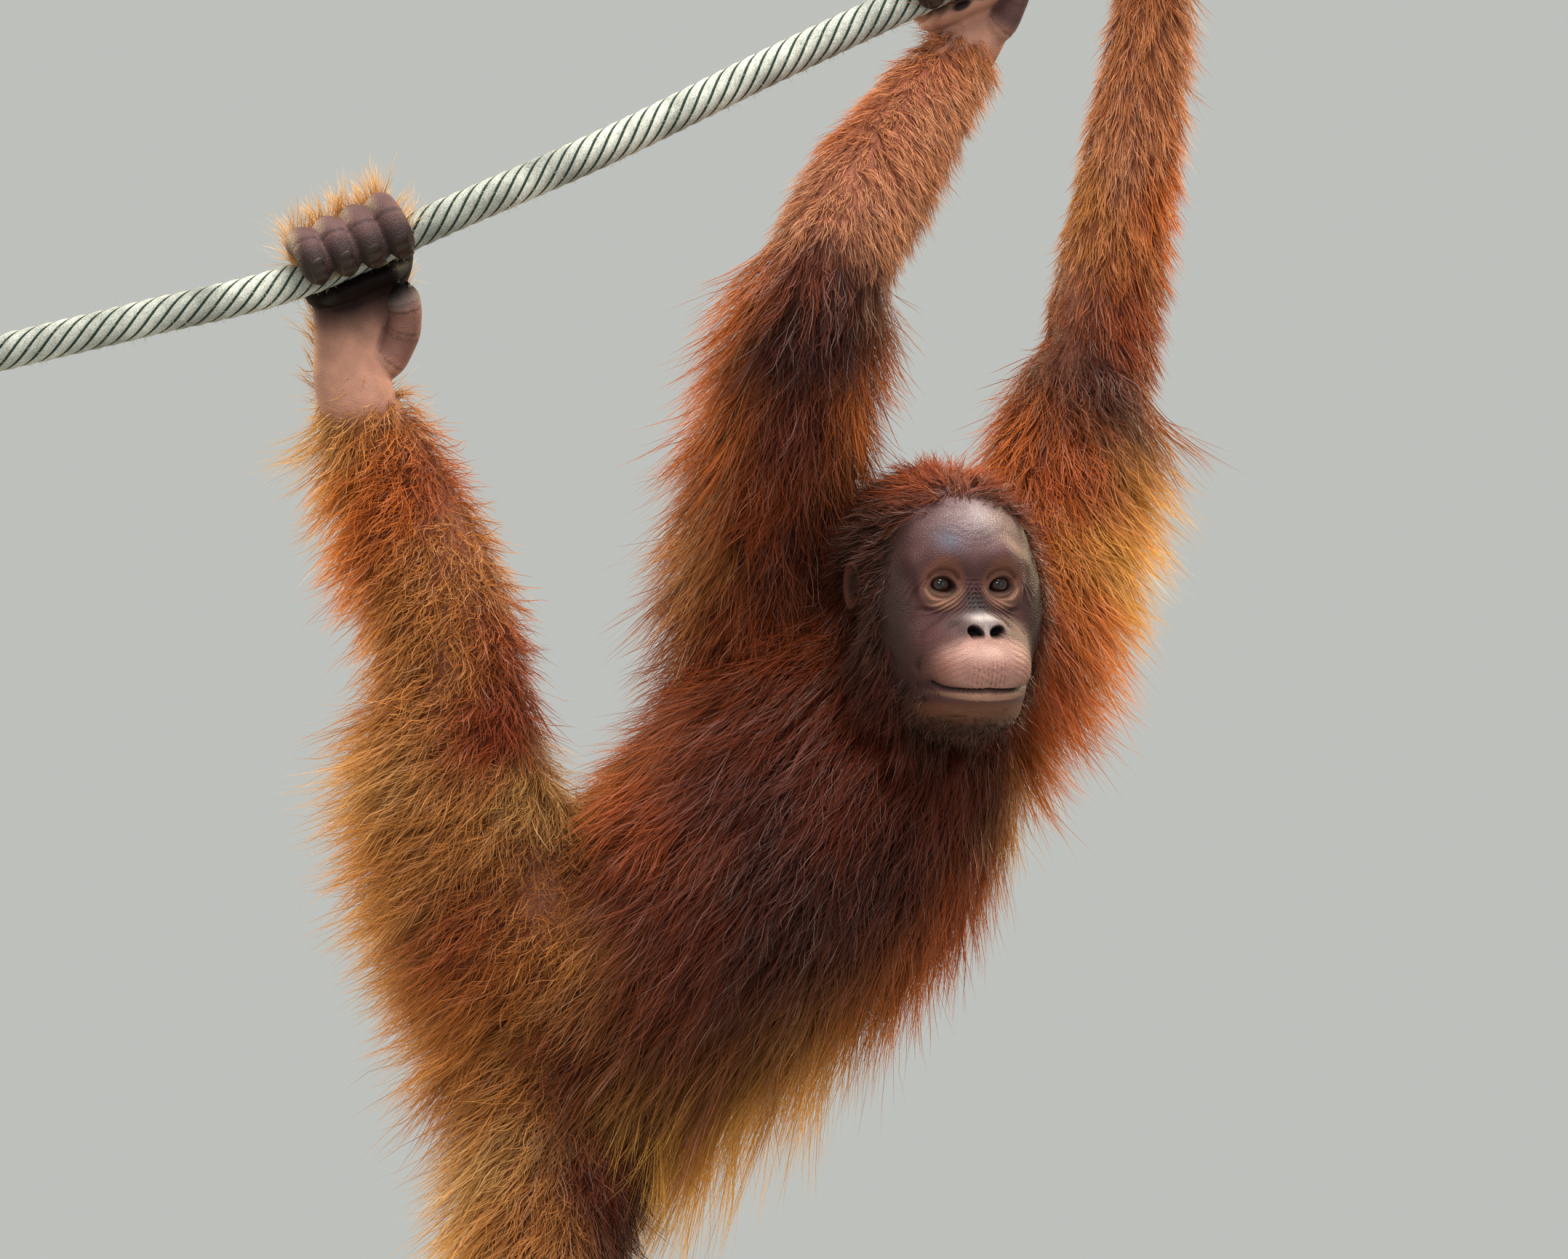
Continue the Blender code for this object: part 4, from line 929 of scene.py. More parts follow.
def paw(name, palm_rows, pads, routes, radius, taper, thumb, thumb_radii):
    """A hand or foot: palm, four digits and thumb fused into one skin. Its nails come back beside it."""
    rows = smooth_row(palm_rows, 30)
    _, across, deep = axes_along(rows[:, :3])
    corners, faces = tube_mesh(rows[:, :3], across * rows[:, 3:4], deep * rows[:, 4:5], 32)
    parts, nails = [mesh_object("palm", corners, faces), *pads], []
    for points in routes:
        made, path, along = digit(points, [radius * s for s in taper])
        parts.append(made)
        DIGIT_PATHS.append((path, radius, (DARK_DIGIT, DARK_TIP)))
        nails.append(nail_plate(path, along, radius * taper[-2]))
    made, path, along = digit([Vector(p) for p in thumb], thumb_radii)
    parts.append(made)
    shades = (THUMB_SHADE, THUMB_TIP) if name == "foot_right" else (DARK_DIGIT, DARK_TIP)
    DIGIT_PATHS.append((path, thumb_radii[2], shades))
    nails.append(nail_plate(path, along, thumb_radii[-2]))
    return fused(name, parts, PAW_VOXEL, 2), nails


def build_paws():
    """The four hands and feet, in the order of PAW_COATS, and all nails."""
    foot = (FOOT_GRIP_ENDS, TOE_RADIUS, FOOT_RIGHT_THUMB, FOOT_THUMB_RADII)
    right_hand = (HAND_GRIP_ENDS, FINGER_RADIUS, HAND_RIGHT_THUMB, HAND_THUMB_RADII)
    left_hand = (HAND_GRIP_ENDS, FINGER_RADIUS, HAND_LEFT_THUMB, HAND_THUMB_RADII)
    gripping = (
        ("foot_right", FOOT_RIGHT, FOOT_RIGHT_GRIPS, foot),
        ("hand_right", HAND_RIGHT, HAND_RIGHT_GRIPS, right_hand),
        ("hand_left", HAND_LEFT, HAND_LEFT_GRIPS, left_hand),
    )
    paws, nails = [], []
    for name, palm, grips, (ends, radius, thumb, thumb_radii) in gripping:
        routes = [gripping_points(x, root, radius, end) for (x, root), end in zip(grips, ends)]
        pads = [pad_under_rope(grips)]
        made, plates = paw(name, palm, pads, routes, radius, GRIP_TAPER, thumb, thumb_radii)
        paws.append(made)
        nails += plates
    routes = [relaxed_points(number) for number in range(4)]
    made, plates = paw(
        "foot_left", FOOT_LEFT, [], routes, LOOSE_TOE_RADIUS, LOOSE_TAPER, FOOT_LEFT_THUMB, FOOT_THUMB_RADII
    )
    paws.append(made)
    return paws, nails + plates


def corners_of(made):
    """A mesh's corners, in millimetres."""
    found = np.empty(len(made.data.vertices) * 3)
    made.data.vertices.foreach_get("co", found)
    return found.reshape(-1, 3) / MM


def triangles_of(made):
    """A mesh's triangles, as numbers of corners."""
    made.data.calc_loop_triangles()
    found = np.empty(len(made.data.loop_triangles) * 3, int)
    made.data.loop_triangles.foreach_get("vertices", found)
    return found.reshape(-1, 3)


def surface_of(corners, triangles):
    """A search tree over a mesh, and the middle and outward direction of each triangle."""
    tree = BVHTree.FromPolygons([tuple(c) for c in corners], [tuple(t) for t in triangles])
    a, b, c = (corners[triangles[:, k]] for k in range(3))
    return tree, corners[triangles].mean(axis=1), unit(np.cross(b - a, c - a))


def union_all(base, parts):
    """Joins closed skins into one closed skin."""
    group = bpy.data.collections.new("joining")
    for part in parts:
        group.objects.link(part)
    modifier = base.modifiers.new("join", "BOOLEAN")
    modifier.operation = "UNION"
    modifier.solver = "MANIFOLD"
    modifier.operand_type = "COLLECTION"
    modifier.collection = group
    apply_modifiers(base)
    for part in parts:
        bpy.data.objects.remove(part)
    bpy.data.collections.remove(group)
    base.data.shade_smooth()


# Coat colours, from the roots of the hair to its tips.
GOLD = ("#b06a28", "#f2bd5c")
STRAW = ("#a0662f", "#e8ba70")
TAN = ("#924c22", "#d09048")
ORANGE = ("#8e3c14", "#dc7c2c")
RUST = ("#7a2f12", "#b4541e")
RED = ("#6a220c", "#a03c14")
CHESTNUT = ("#4e1a0b", "#7a321a")
MAROON = ("#2c0d08", "#521c11")
SALMON = ("#9c5a40", "#cf9468")
UMBER = ("#26110c", "#4a2417")

# Where on the body each colour lies. Part of the dark maroon, umber and chestnut is painted shade: under the
# chin, on the chest, in the elbow pit and beside the face. Part of the gold along the outer edges is painted
# light: a rim lit from behind.
TONES_WITH_SHADE_AND_LIGHT = {
    GOLD: [
        (-356, -10, 990), (-345, -10, 880), (-330, -30, 724), (-340, 20, 800), (200, 20, 770),
        (-20, 20, 592), (30, 10, 606), (-70, 20, 584), (60, 0, 570), (285, 80, 1020), (240, 60, 960),
        (-236, -30, 450),
    ],
    ORANGE: [
        (-300, -50, 1000), (-230, -70, 610), (-120, -60, 812), (148, -40, 664), (-50, -80, 1100),
        (70, -80, 1091), (60, -50, 1010), (-30, -120, 1180), (290, 90, 1240), (154, 60, 1044),
        (237, 20, 931), (207, 0, 842), (-200, 110, 640), (-280, 60, 780), (-290, 50, 960),
        (-30, 60, 1060), (230, 160, 1040), (60, 0, 1250), (-180, 70, 480), (140, 90, 640),
        (-180, 20, 300),
    ],
    RUST: [
        (-262, -60, 1020), (-190, -60, 900), (-240, -80, 680), (-83, -80, 790), (160, -40, 725),
        (100, -70, 610), (-60, -60, 901), (0, -90, 990), (20, -60, 920), (280, 70, 1130), (207, 20, 1044),
        (170, -20, 900), (113, -80, 1014), (100, 90, 960), (60, 130, 800), (-60, 130, 720),
    ],
    TAN: [
        (-245, -40, 960), (-270, -70, 884), (-258, -80, 753), (-160, -80, 690), (-200, -50, 590),
        (-75, -50, 990), (225, 90, 1240), (-185, -90, 480), (-184, -100, 330),
    ],
    STRAW: [
        (-310, -60, 800), (-290, -50, 690), (-285, 0, 623), (-166, -40, 800), (-225, -60, 516),
        (-270, 0, 500), (-240, -20, 330), (-320, 10, 1180), (-350, 10, 1100),
    ],
    RED: [
        (-195, -70, 842),
    ],
    CHESTNUT: [
        (-150, -80, 750), (-100, -95, 740), (-40, -90, 800), (12, -95, 860), (-50, -110, 700),
        (-59, -100, 635), (60, -95, 800), (150, -60, 800), (0, -60, 590), (-142, -60, 590),
        (18, -155, 1180), (20, -120, 1070), (-130, -60, 500), (-184, -60, 220), (166, -90, 990),
        (60, -60, 985), (59, -110, 872), (190, -90, 940), (60, -90, 830), (32, -60, 1000), (10, -85, 900),
    ],
    MAROON: [
        (8, -110, 800), (60, -120, 800), (20, -110, 740), (0, -110, 664), (89, -105, 706),
        (107, -100, 753), (150, -70, 850), (10, -140, 1130), (40, -140, 1140), (249, 50, 1109),
        (-118, -40, 470), (-110, 0, 540), (47, -60, 960), (150, -100, 800), (66, -70, 1000),
        (50, -60, 990), (22, -75, 960), (70, -110, 880), (110, -112, 780), (120, -105, 745),
    ],
    UMBER: [
        (90, -110, 745), (20, -120, 690), (119, -120, 800), (100, -150, 850), (46, -95, 960),
        (70, -85, 975), (75, -92, 950), (56, -112, 905), (42, -84, 930), (58, -95, 915),
    ],
    SALMON: [
        (47, -130, 1240), (107, -40, 1299), (100, -90, 1210), (20, -110, 1220), (261, 70, 1258),
    ],
}


def tone_at(points):
    """Root and tip colours of the coat at each place, blended between the named tones, painted shade and
    light among them.
    """
    places = np.array([place for spots in TONES_WITH_SHADE_AND_LIGHT.values() for place in spots], float)
    roots = np.array([linear(root) for (root, _), spots in TONES_WITH_SHADE_AND_LIGHT.items() for _ in spots])
    tips = np.array([linear(tip) for (_, tip), spots in TONES_WITH_SHADE_AND_LIGHT.items() for _ in spots])
    found_roots, found_tips = [], []
    for chunk in np.array_split(points, max(1, len(points) // 20000)):
        away = ((chunk[:, None] - places[None]) ** 2).sum(axis=2) + 120
        weight = away**-2.2
        weight /= weight.sum(axis=1, keepdims=True)
        found_roots.append(weight @ roots)
        found_tips.append(weight @ tips)
    return np.vstack(found_roots), np.vstack(found_tips)


def mixed(base, other, share):
    """One colour laid over another, each place by its own share."""
    return base + (other - base) * np.clip(share, 0, 1)[:, None]


def blob(p, centre, radii):
    """1 at a place on the face, fading to 0 at its radii, with x mirrored."""
    q = (mirrored(p) - centre) / radii
    return np.exp(-1.6 * (q**2).sum(axis=1))


def face_tone(p):
    """Colour and gloss of the face at head places, with painted shade in its creases, nostrils and mouth
    line, and painted highlights on the forehead and the top of the nose.
    """
    m = mirrored(p)
    x, y, z = m.T
    across, over = x - EYE_OFFSET.x, z - EYE_OFFSET.z
    rim = np.hypot(across / 15.5, np.where(over > 0, over / 20, over / 17))
    lower_lip = np.hypot(x / 34, (z + 72.8 - 0.003 * x * x) / 2.4)
    lip_lines = np.sin(p[:, 0] * 1.75 + 0.8 * np.sin(z * 0.5)) + 0.5 * np.sin(z * 1.3 + p[:, 0] * 0.6)
    lip_lines = np.clip(lip_lines - 0.35, 0, 1)
    lip_lines *= smooth_step(19, 9, x) * smooth_step(-44, -51, z) * smooth_step(-68, -63, z)
    mouth = smooth_step(2.2, 0.7, mouth_distance(m)) * smooth_step(43, 38, x)
    paints = {
        "forehead": ("#6c5256", blob(p, (0, 60, 58), (42, 60, 26))),
        "blue patch": ("#434a5c", 0.7 * fading(p[:, 0] + 19, 11) * fading(z - 45, 9)),
        "cheeks": ("#2b1915", smooth_step(36, 56, x) * 0.85),
        "round the eyes": ("#6e4436", smooth_step(1.25, 0.8, rim) * 0.85),
        "under the eyes": ("#96705f", smooth_step(1.3, 0.8, rim) * smooth_step(0, -6, over) * 0.75),
        "lid edges": ("#2b1a18", smooth_step(2.4, 0.6, eye_slit_distance(m)) * 0.9),
        "bridge of the nose": ("#352c2e", blob(p, (0, 78, -4), (12, 40, 15)) * 1.1),
        "nose": ("#665656", blob(p, (0, 84, -20), (22, 40, 11)) * 1.2),
        # Painted highlight: the top of the nose is paler where light would shine on it.
        "painted highlight on the top of the nose": ("#aea4a2", blob(p, (3, 90, -13), (11, 30, 4))),
        "between the nostrils": ("#8a7f7e", blob(p, (0, 92, -24), (2.6, 30, 9)) * 0.9),
        # Paler skin on the forehead with a painted highlight over it.
        "pale skin and painted sheen on the forehead": ("#978a8c", 0.75 * fading(p[:, 0] - 7, 13) * fading(z - 62, 12)),
        "muzzle": ("#a0766c", smooth_step(1.2, 0.74, np.hypot(x / 37, (z + 48) / 22)) * 0.95),
        "upper lip": ("#c09c92", blob(p, (0, 96, -39), (27, 60, 9)) * 0.9),
        "sides of the muzzle": ("#7e5348", blob(p, (33, 86, -54), (9, 40, 12)) * 0.8),
        # Painted shade: the nostrils' pits go near black.
        "nostrils": ("#0b0605", smooth_step(1.3, -0.6, nostril_distance(m))),
        "lower lip": ("#94705f", smooth_step(1.3, 0.75, lower_lip) * 0.85),
        "under the lip": ("#5f3a28", smooth_step(-74, -79, z) * smooth_step(20, 50, y) * 0.9),
        "chin": ("#2e1812", smooth_step(-84, -98, z) * 0.85),
        "lip lines": ("#6a4540", lip_lines * 0.8),
        # Painted shade: the groove between the lips goes near black.
        "mouth": ("#160a09", mouth),
    }
    tone = np.tile(linear("#4c2e2e"), (len(p), 1))
    for colour, share in paints.values():
        tone = mixed(tone, linear(colour), share)
    # Painted shade and light that follow the relief: darker down in the creases and folds, paler on the skin
    # between them.
    tone *= (1 - 0.34 * np.clip(face_creases(m), -0.6, 1.4))[:, None]
    gloss = 0.3 + 0.6 * blob(p, (0, 60, 60), (36, 60, 24)) + 0.5 * blob(p, (0, 90, -14), (14, 30, 10))
    return tone, np.clip(gloss, 0, 1)


def paint_head(points, tone, gloss):
    """Lays the face's colours, painted highlights and shade among them, and gloss on the skin, and the ears'
    brown with its darker cup.
    """
    head = moved(WORLD_TO_HEAD, points)
    on_face = (head_distance(head) < 3.0) & (np.linalg.norm(head, axis=1) < 150)
    face, shine = face_tone(head[on_face])
    blend = smooth_step(-30, 12, head[on_face][:, 1])
    tone[on_face] = mixed(tone[on_face], face, blend)
    gloss[on_face] = shine * blend
    from_ear = mirrored(head) - np.array(EAR_MIDDLE)
    ring = np.hypot(from_ear[:, 1] / EAR_DEPTH, from_ear[:, 2] / EAR_HEIGHT)
    ear = smooth_step(1.5, 1.15, ring) * (np.abs(from_ear[:, 0]) < 16)
    tone[:] = mixed(tone, linear("#4b2a20"), ear)
    tone[:] = mixed(tone, linear("#24130f"), ear * smooth_step(0.8, 0.4, ring))


# For each palm: over what length from the wrist the bare skin comes in, and over what length past
# the knuckles the dark of the digits does.
PALM_PAINT = ((FOOT_RIGHT, 30, 30), (HAND_RIGHT, 25, 26), (HAND_LEFT, 25, 26), (FOOT_LEFT, 20, 30))
KNUCKLE_HEIGHT = 74


def paint_palms(points, tone):
    """Lays pale skin on the palms and soles, and dark skin past the knuckles."""
    for rows, start, length in PALM_PAINT:
        wrist, knuckles = np.array(rows[0][:3]), np.array(rows[-1][:3])
        height = (points - wrist) @ unit(knuckles - wrist)
        close = np.linalg.norm(points - (wrist + knuckles) / 2, axis=1) < 110
        tone[:] = mixed(tone, linear(PALE_SOLE), smooth_step(0, start, height) * close)
        past_knuckles = smooth_step(KNUCKLE_HEIGHT, KNUCKLE_HEIGHT + length, height)
        tone[:] = mixed(tone, linear(DARK_DIGIT), past_knuckles * close * 0.8)


def paint_digits(points, tone, gloss):
    """Lays each digit's colours on the skin, with fine dark lines across its joints and a low gloss."""
    for path, radius, (shade, tip_shade) in DIGIT_PATHS:
        near = np.where(np.linalg.norm(points - path.mean(axis=0), axis=1) < 90)[0]
        away = np.linalg.norm(points[near, None] - path[None], axis=2)
        share = away.argmin(axis=1) / (len(path) - 1)
        on_digit = smooth_step(1.45, 1.2, away.min(axis=1) / radius)
        tone[near] = mixed(tone[near], linear(shade), smooth_step(0.12, 0.34, share) * on_digit)
        tone[near] = mixed(tone[near], linear(tip_shade), smooth_step(0.74, 0.88, share) * on_digit * 0.9)
        for joint in JOINTS_ALONG_DIGIT:
            lines = np.clip(np.cos((share - joint) * 2 * math.pi / 0.026), 0, 1)
            lines *= smooth_step(0.075, 0.03, np.abs(share - joint))
            tone[near] = mixed(tone[near], linear(DARK_TIP), lines * on_digit * 0.5)
        gloss[near] = np.maximum(gloss[near], 0.25 * on_digit)


def paint_grip_shade(points, tone, gloss):
    """Paints near-black shade in the hollow of the gripping foot, behind and under the rope, and takes the
    gloss out there.
    """
    near = np.where(np.linalg.norm(points - FOOT_RIGHT[4][:3], axis=1) < 90)[0]
    route = smooth_row(ROPE_ROUTE, 120)
    away = np.linalg.norm(points[near, None] - route[None], axis=2)
    offset = points[near] - route[away.argmin(axis=1)]
    grip_shade = smooth_step(60, 34, away.min(axis=1))
    grip_shade *= smooth_step(-31, -22, offset[:, 1]) * smooth_step(4, -6, offset[:, 2])
    # Painted shade: the hollow under the gripping toes goes near black.
    tone[near] = mixed(tone[near], linear("#0e0807"), grip_shade)
    gloss[near] *= 1 - grip_shade


def paint_skin(skin):
    """Puts tone and gloss on the skin: the coat's colours under the fur, painted shade and light among them,
    its own on bare parts, painted highlights and shade included, and painted shade in the gripping foot's
    hollow.
    """
    points = corners_of(skin)
    roots, _ = tone_at(points)
    tone = mixed(roots * 0.55, linear("#8a5a4c"), np.full(len(points), 0.18))
    gloss = np.full(len(points), 0.1)
    tone = mixed(tone, linear(BARE_BODY), bareness(points))
    paint_head(points, tone, gloss)
    paint_palms(points, tone)
    paint_digits(points, tone, gloss)
    paint_grip_shade(points, tone, gloss)
    for name, values in (("tone", tone), ("gloss", np.repeat(gloss[:, None], 3, axis=1))):
        layer = skin.data.color_attributes.new(name, "FLOAT_COLOR", "POINT")
        layer.data.foreach_set("color", np.column_stack([values, np.ones(len(values))]).ravel())


def build_skin():
    """One skin for the whole animal; also the body alone, the nails, and the paws' meshes by name."""
    body = fused("skin", [body_part(name) for name in REGIONS], BODY_VOXEL, 6)
    coat_base = body.copy()
    coat_base.data = body.data.copy()
    bpy.context.scene.collection.objects.link(coat_base)
    head = head_skin()
    paws, nails = build_paws()
    paw_forms = {name: (corners_of(made), triangles_of(made)) for name, made in zip(PAW_COATS, paws)}
    union_all(body, [head, ear_skin(-1), ear_skin(1), *paws])
    paint_skin(body)
    body.data.materials.clear()
    body.data.materials.append(skin_material())
    body.data.polygons.foreach_set("material_index", np.zeros(len(body.data.polygons), int))
    return body, coat_base, nails, paw_forms


def region_of(points, forms):
    """For each place: the nearest form, how far along it from 0 to 1, and the angle round it."""
    best = np.full(len(points), 1e9)
    region = np.zeros(len(points), int)
    along_share, angle = np.zeros(len(points)), np.zeros(len(points))
    for number, stations in enumerate(forms):
        rows = smooth_row(stations, 31)
        _, across, deep = axes_along(rows[:, :3])
        away = np.linalg.norm(points[:, None] - rows[None, :, :3], axis=2)
        at = away.argmin(axis=1)
        offset = points - rows[at, :3]
        wide = (offset * across[at]).sum(axis=1) / rows[at, 3]
        thick = (offset * deep[at]).sum(axis=1) / rows[at, 4]
        score = away.min(axis=1) / rows[at, 3:].mean(axis=1)
        closer = score < best
        best[closer] = score[closer]
        region[closer] = number
        along_share[closer] = at[closer] / 30
        angle[closer] = np.arctan2(thick, wide)[closer]
    return region, along_share, angle


# The coat of each part: the way it is combed, the share that stands outward, its length, how far
# it lifts off the skin, the side where it lifts into a fringe and how far there, how many strands
# and locks it has, each strand's segments, and the share of its length where it lies sleek.
COAT_FIELDS = (
    "comb", "outward", "length", "lift", "fringe", "fringe_lift", "strands", "locks", "segments", "sleek"
)
COATS = {
    "torso": ((-0.55, -0.05, -0.8), 0.2, 112, 22, (-0.25, 0.3, -0.9), 44, 33000, 2600, 5, 0.72),
    "neck": ((-0.05, 0.3, -0.85), 0.3, 70, 20, (-1, 0.5, 0), 30, 8000, 600, 5, 0.8),
    "upper_arm_right": ((-0.25, 0.0, -0.9), 0.3, 86, 24, (-1, 0.4, 0), 44, 15000, 1100, 5, 0.7),
    "upper_arm_left": ((0.2, 0.0, -0.9), 0.3, 86, 24, (1, 0.2, -0.4), 50, 14000, 1000, 5, 0.7),
    "forearm_right": ((-0.1, 0.0, -0.9), 0.15, 34, 10, (-1, 0, 0), 16, 13000, 1400, 4, 0.8),
    "forearm_left": ((0.05, 0.0, -0.9), 0.15, 36, 10, (1, 0, 0), 18, 13000, 1400, 4, 0.8),
    "thigh_right": ((-0.62, 0.1, -0.6), 0.3, 92, 24, (-1, 0.2, -0.2), 62, 15500, 1100, 5, 0.5),
    "shin_right": ((-0.35, 0.1, -0.8), 0.3, 72, 20, (-1, 0.3, 0), 46, 9500, 800, 5, 0.42),
    "thigh_left": ((-0.3, 0.1, -0.85), 0.3, 86, 20, (-1, 0.2, 0), 50, 12500, 1000, 5, 0.55),
    "shin_left": ((0.0, 0.1, -0.95), 0.3, 64, 16, (-1, 0.4, 0), 30, 7500, 700, 5, 0.55),
}
GUIDE_STEPS = 6

# How strands lie: how tightly they follow their lock, how far they sway and how often, how far
# they stray, their width, and how far the few loose ones stand off.
LONG_LOOK = {"clump": 0.28, "wave": 3.8, "turns": 2.4, "stray": 7.0, "width": 0.62, "flyaway": 20}
SHORT_LOOK = {"clump": 0.25, "wave": 1.2, "turns": 1.4, "stray": 2.6, "width": 0.55, "flyaway": 6}
FLYAWAY_SHARE = 0.12
# Steps that make neighbouring locks sway and shade differently.
LOCK_PHASE_STEP, LOCK_SHADE_STEP = 2.399, 12.9898
# The head's and the paws' strands have this many segments.
SHORT_COAT = {"segments": 4}

# The map that paint is baked to: how much of it the strands' places fill, and one strand's patch.
MAP_SHARE = 0.99
BAKE_PATCH = 0.003


def nearest_on(tree, points):
    """For each place: the nearest place on a mesh, and its outward direction."""
    feet, ups = np.empty_like(points), np.empty_like(points)
    for i, point in enumerate(points):
        foot, up, _, _ = tree.find_nearest(Vector(point))
        feet[i], ups[i] = foot, up
    return feet, ups


def scatter(corners, triangles, weights, count, draw):
    """Places on a mesh, as many as asked, by area and weight: the place and its triangle."""
    a, b, c = (corners[triangles[:, k]] for k in range(3))
    area = np.linalg.norm(np.cross(b - a, c - a), axis=1) * weights
    chosen = draw.choice(len(triangles), size=count, p=area / area.sum())
    u, v = draw.random(count), draw.random(count)
    flip = u + v > 1
    u[flip], v[flip] = 1 - u[flip], 1 - v[flip]
    return a[chosen] + (b - a)[chosen] * u[:, None] + (c - a)[chosen] * v[:, None], chosen


def comb_guides(tree, roots, normals, comb, outward, length, lift, draw):
    """The middle line of each lock: from its root along the lie, never under its height over the skin."""
    flat = unit(comb - normals * (comb * normals).sum(axis=1, keepdims=True))
    heading = unit(flat + normals * 0.35)
    aim = unit(comb + normals * outward)
    path = [roots]
    place = roots.copy()
    for step in range(1, GUIDE_STEPS + 1):
        place = place + heading * (length / GUIDE_STEPS)[:, None]
        foot, up = nearest_on(tree, place)
        height = ((place - foot) * up).sum(axis=1)
        wanted = lift * (step / GUIDE_STEPS) ** 0.7
        place = place + up * np.maximum(wanted - height, 0)[:, None]
        path.append(place)
        heading = unit(heading * 0.6 + aim * 0.4 + draw.normal(0, 0.1, place.shape))
    return np.stack(path, axis=1)


def along_guides(guides, at):
    """Places on each strand's guide at shares of its length: guides n x steps x 3, at n x m."""
    last = guides.shape[1] - 1
    spot = np.clip(at, 0, 1) * last
    low = np.minimum(spot.astype(int), last - 1)
    part = (spot - low)[..., None]
    rows = np.arange(len(guides))[:, None]
    return guides[rows, low] * (1 - part) + guides[rows, low + 1] * part


def strand_mesh(name, paths, ups, widths, tones, roots_uv, material):
    """Flat strands that taper to a point, all in one mesh, each with its patch on the coat's map."""
    count, rings, _ = paths.shape
    along = unit(np.gradient(paths, axis=1))
    side = unit(np.cross(along, ups[:, None]))
    profile = np.linspace(0, 1, rings)
    half = widths[:, None] * (0.62 + 0.38 * np.sin(math.pi * np.clip(profile * 1.3, 0, 1)))[None] / 2
    left = paths[:, :-1] - side[:, :-1] * half[:, :-1, None]
    right = paths[:, :-1] + side[:, :-1] * half[:, :-1, None]
    pairs = np.stack([left, right], axis=2).reshape(count, -1, 3)
    corners = np.concatenate([pairs, paths[:, -1:]], axis=1)
    per = corners.shape[1]
    segments = rings - 1
    pattern = []
    for k in range(segments - 1):
        pattern += [2 * k, 2 * k + 1, 2 * k + 3, 2 * k + 2]
    pattern += [2 * segments - 2, 2 * segments - 1, 2 * segments]
    pattern = np.array(pattern)
    loops = (np.arange(count)[:, None] * per + pattern[None]).ravel()
    sizes = np.tile([4] * (segments - 1) + [3], count)
    starts = np.concatenate([[0], np.cumsum(sizes)[:-1]])
    mesh = bpy.data.meshes.new(name)
    mesh.vertices.add(count * per)
    mesh.vertices.foreach_set("co", (corners * MM).ravel())
    mesh.loops.add(len(loops))
    mesh.loops.foreach_set("vertex_index", loops)
    mesh.polygons.add(len(sizes))
    mesh.polygons.foreach_set("loop_start", starts)
    mesh.polygons.foreach_set("use_smooth", np.ones(len(sizes), bool))
    mesh.update(calc_edges=True)
    shares = np.repeat(profile[:-1], 2)
    across = np.tile([0.0, 1.0], segments)
    places = np.column_stack([np.append(across, 0.5), np.append(shares, 1.0)]) * BAKE_PATCH
    uv = (roots_uv[:, None] + places[None]).reshape(-1, 2)
    mesh.uv_layers.new(name="OFBake").data.foreach_set("uv", uv[loops].ravel())
    root_tone, tip_tone = tones
    fade = np.append(shares, 1.0)[None, :, None]
    colours = root_tone[:, None] * (1 - fade) + tip_tone[:, None] * fade
    layer = mesh.color_attributes.new("tone", "FLOAT_COLOR", "POINT")
    colours = np.concatenate([colours, np.ones((*colours.shape[:2], 1))], axis=2)
    layer.data.foreach_set("color", colours.ravel())
    mesh.materials.append(material)
    made = bpy.data.objects.new(name, mesh)
    bpy.context.scene.collection.objects.link(made)
    return made


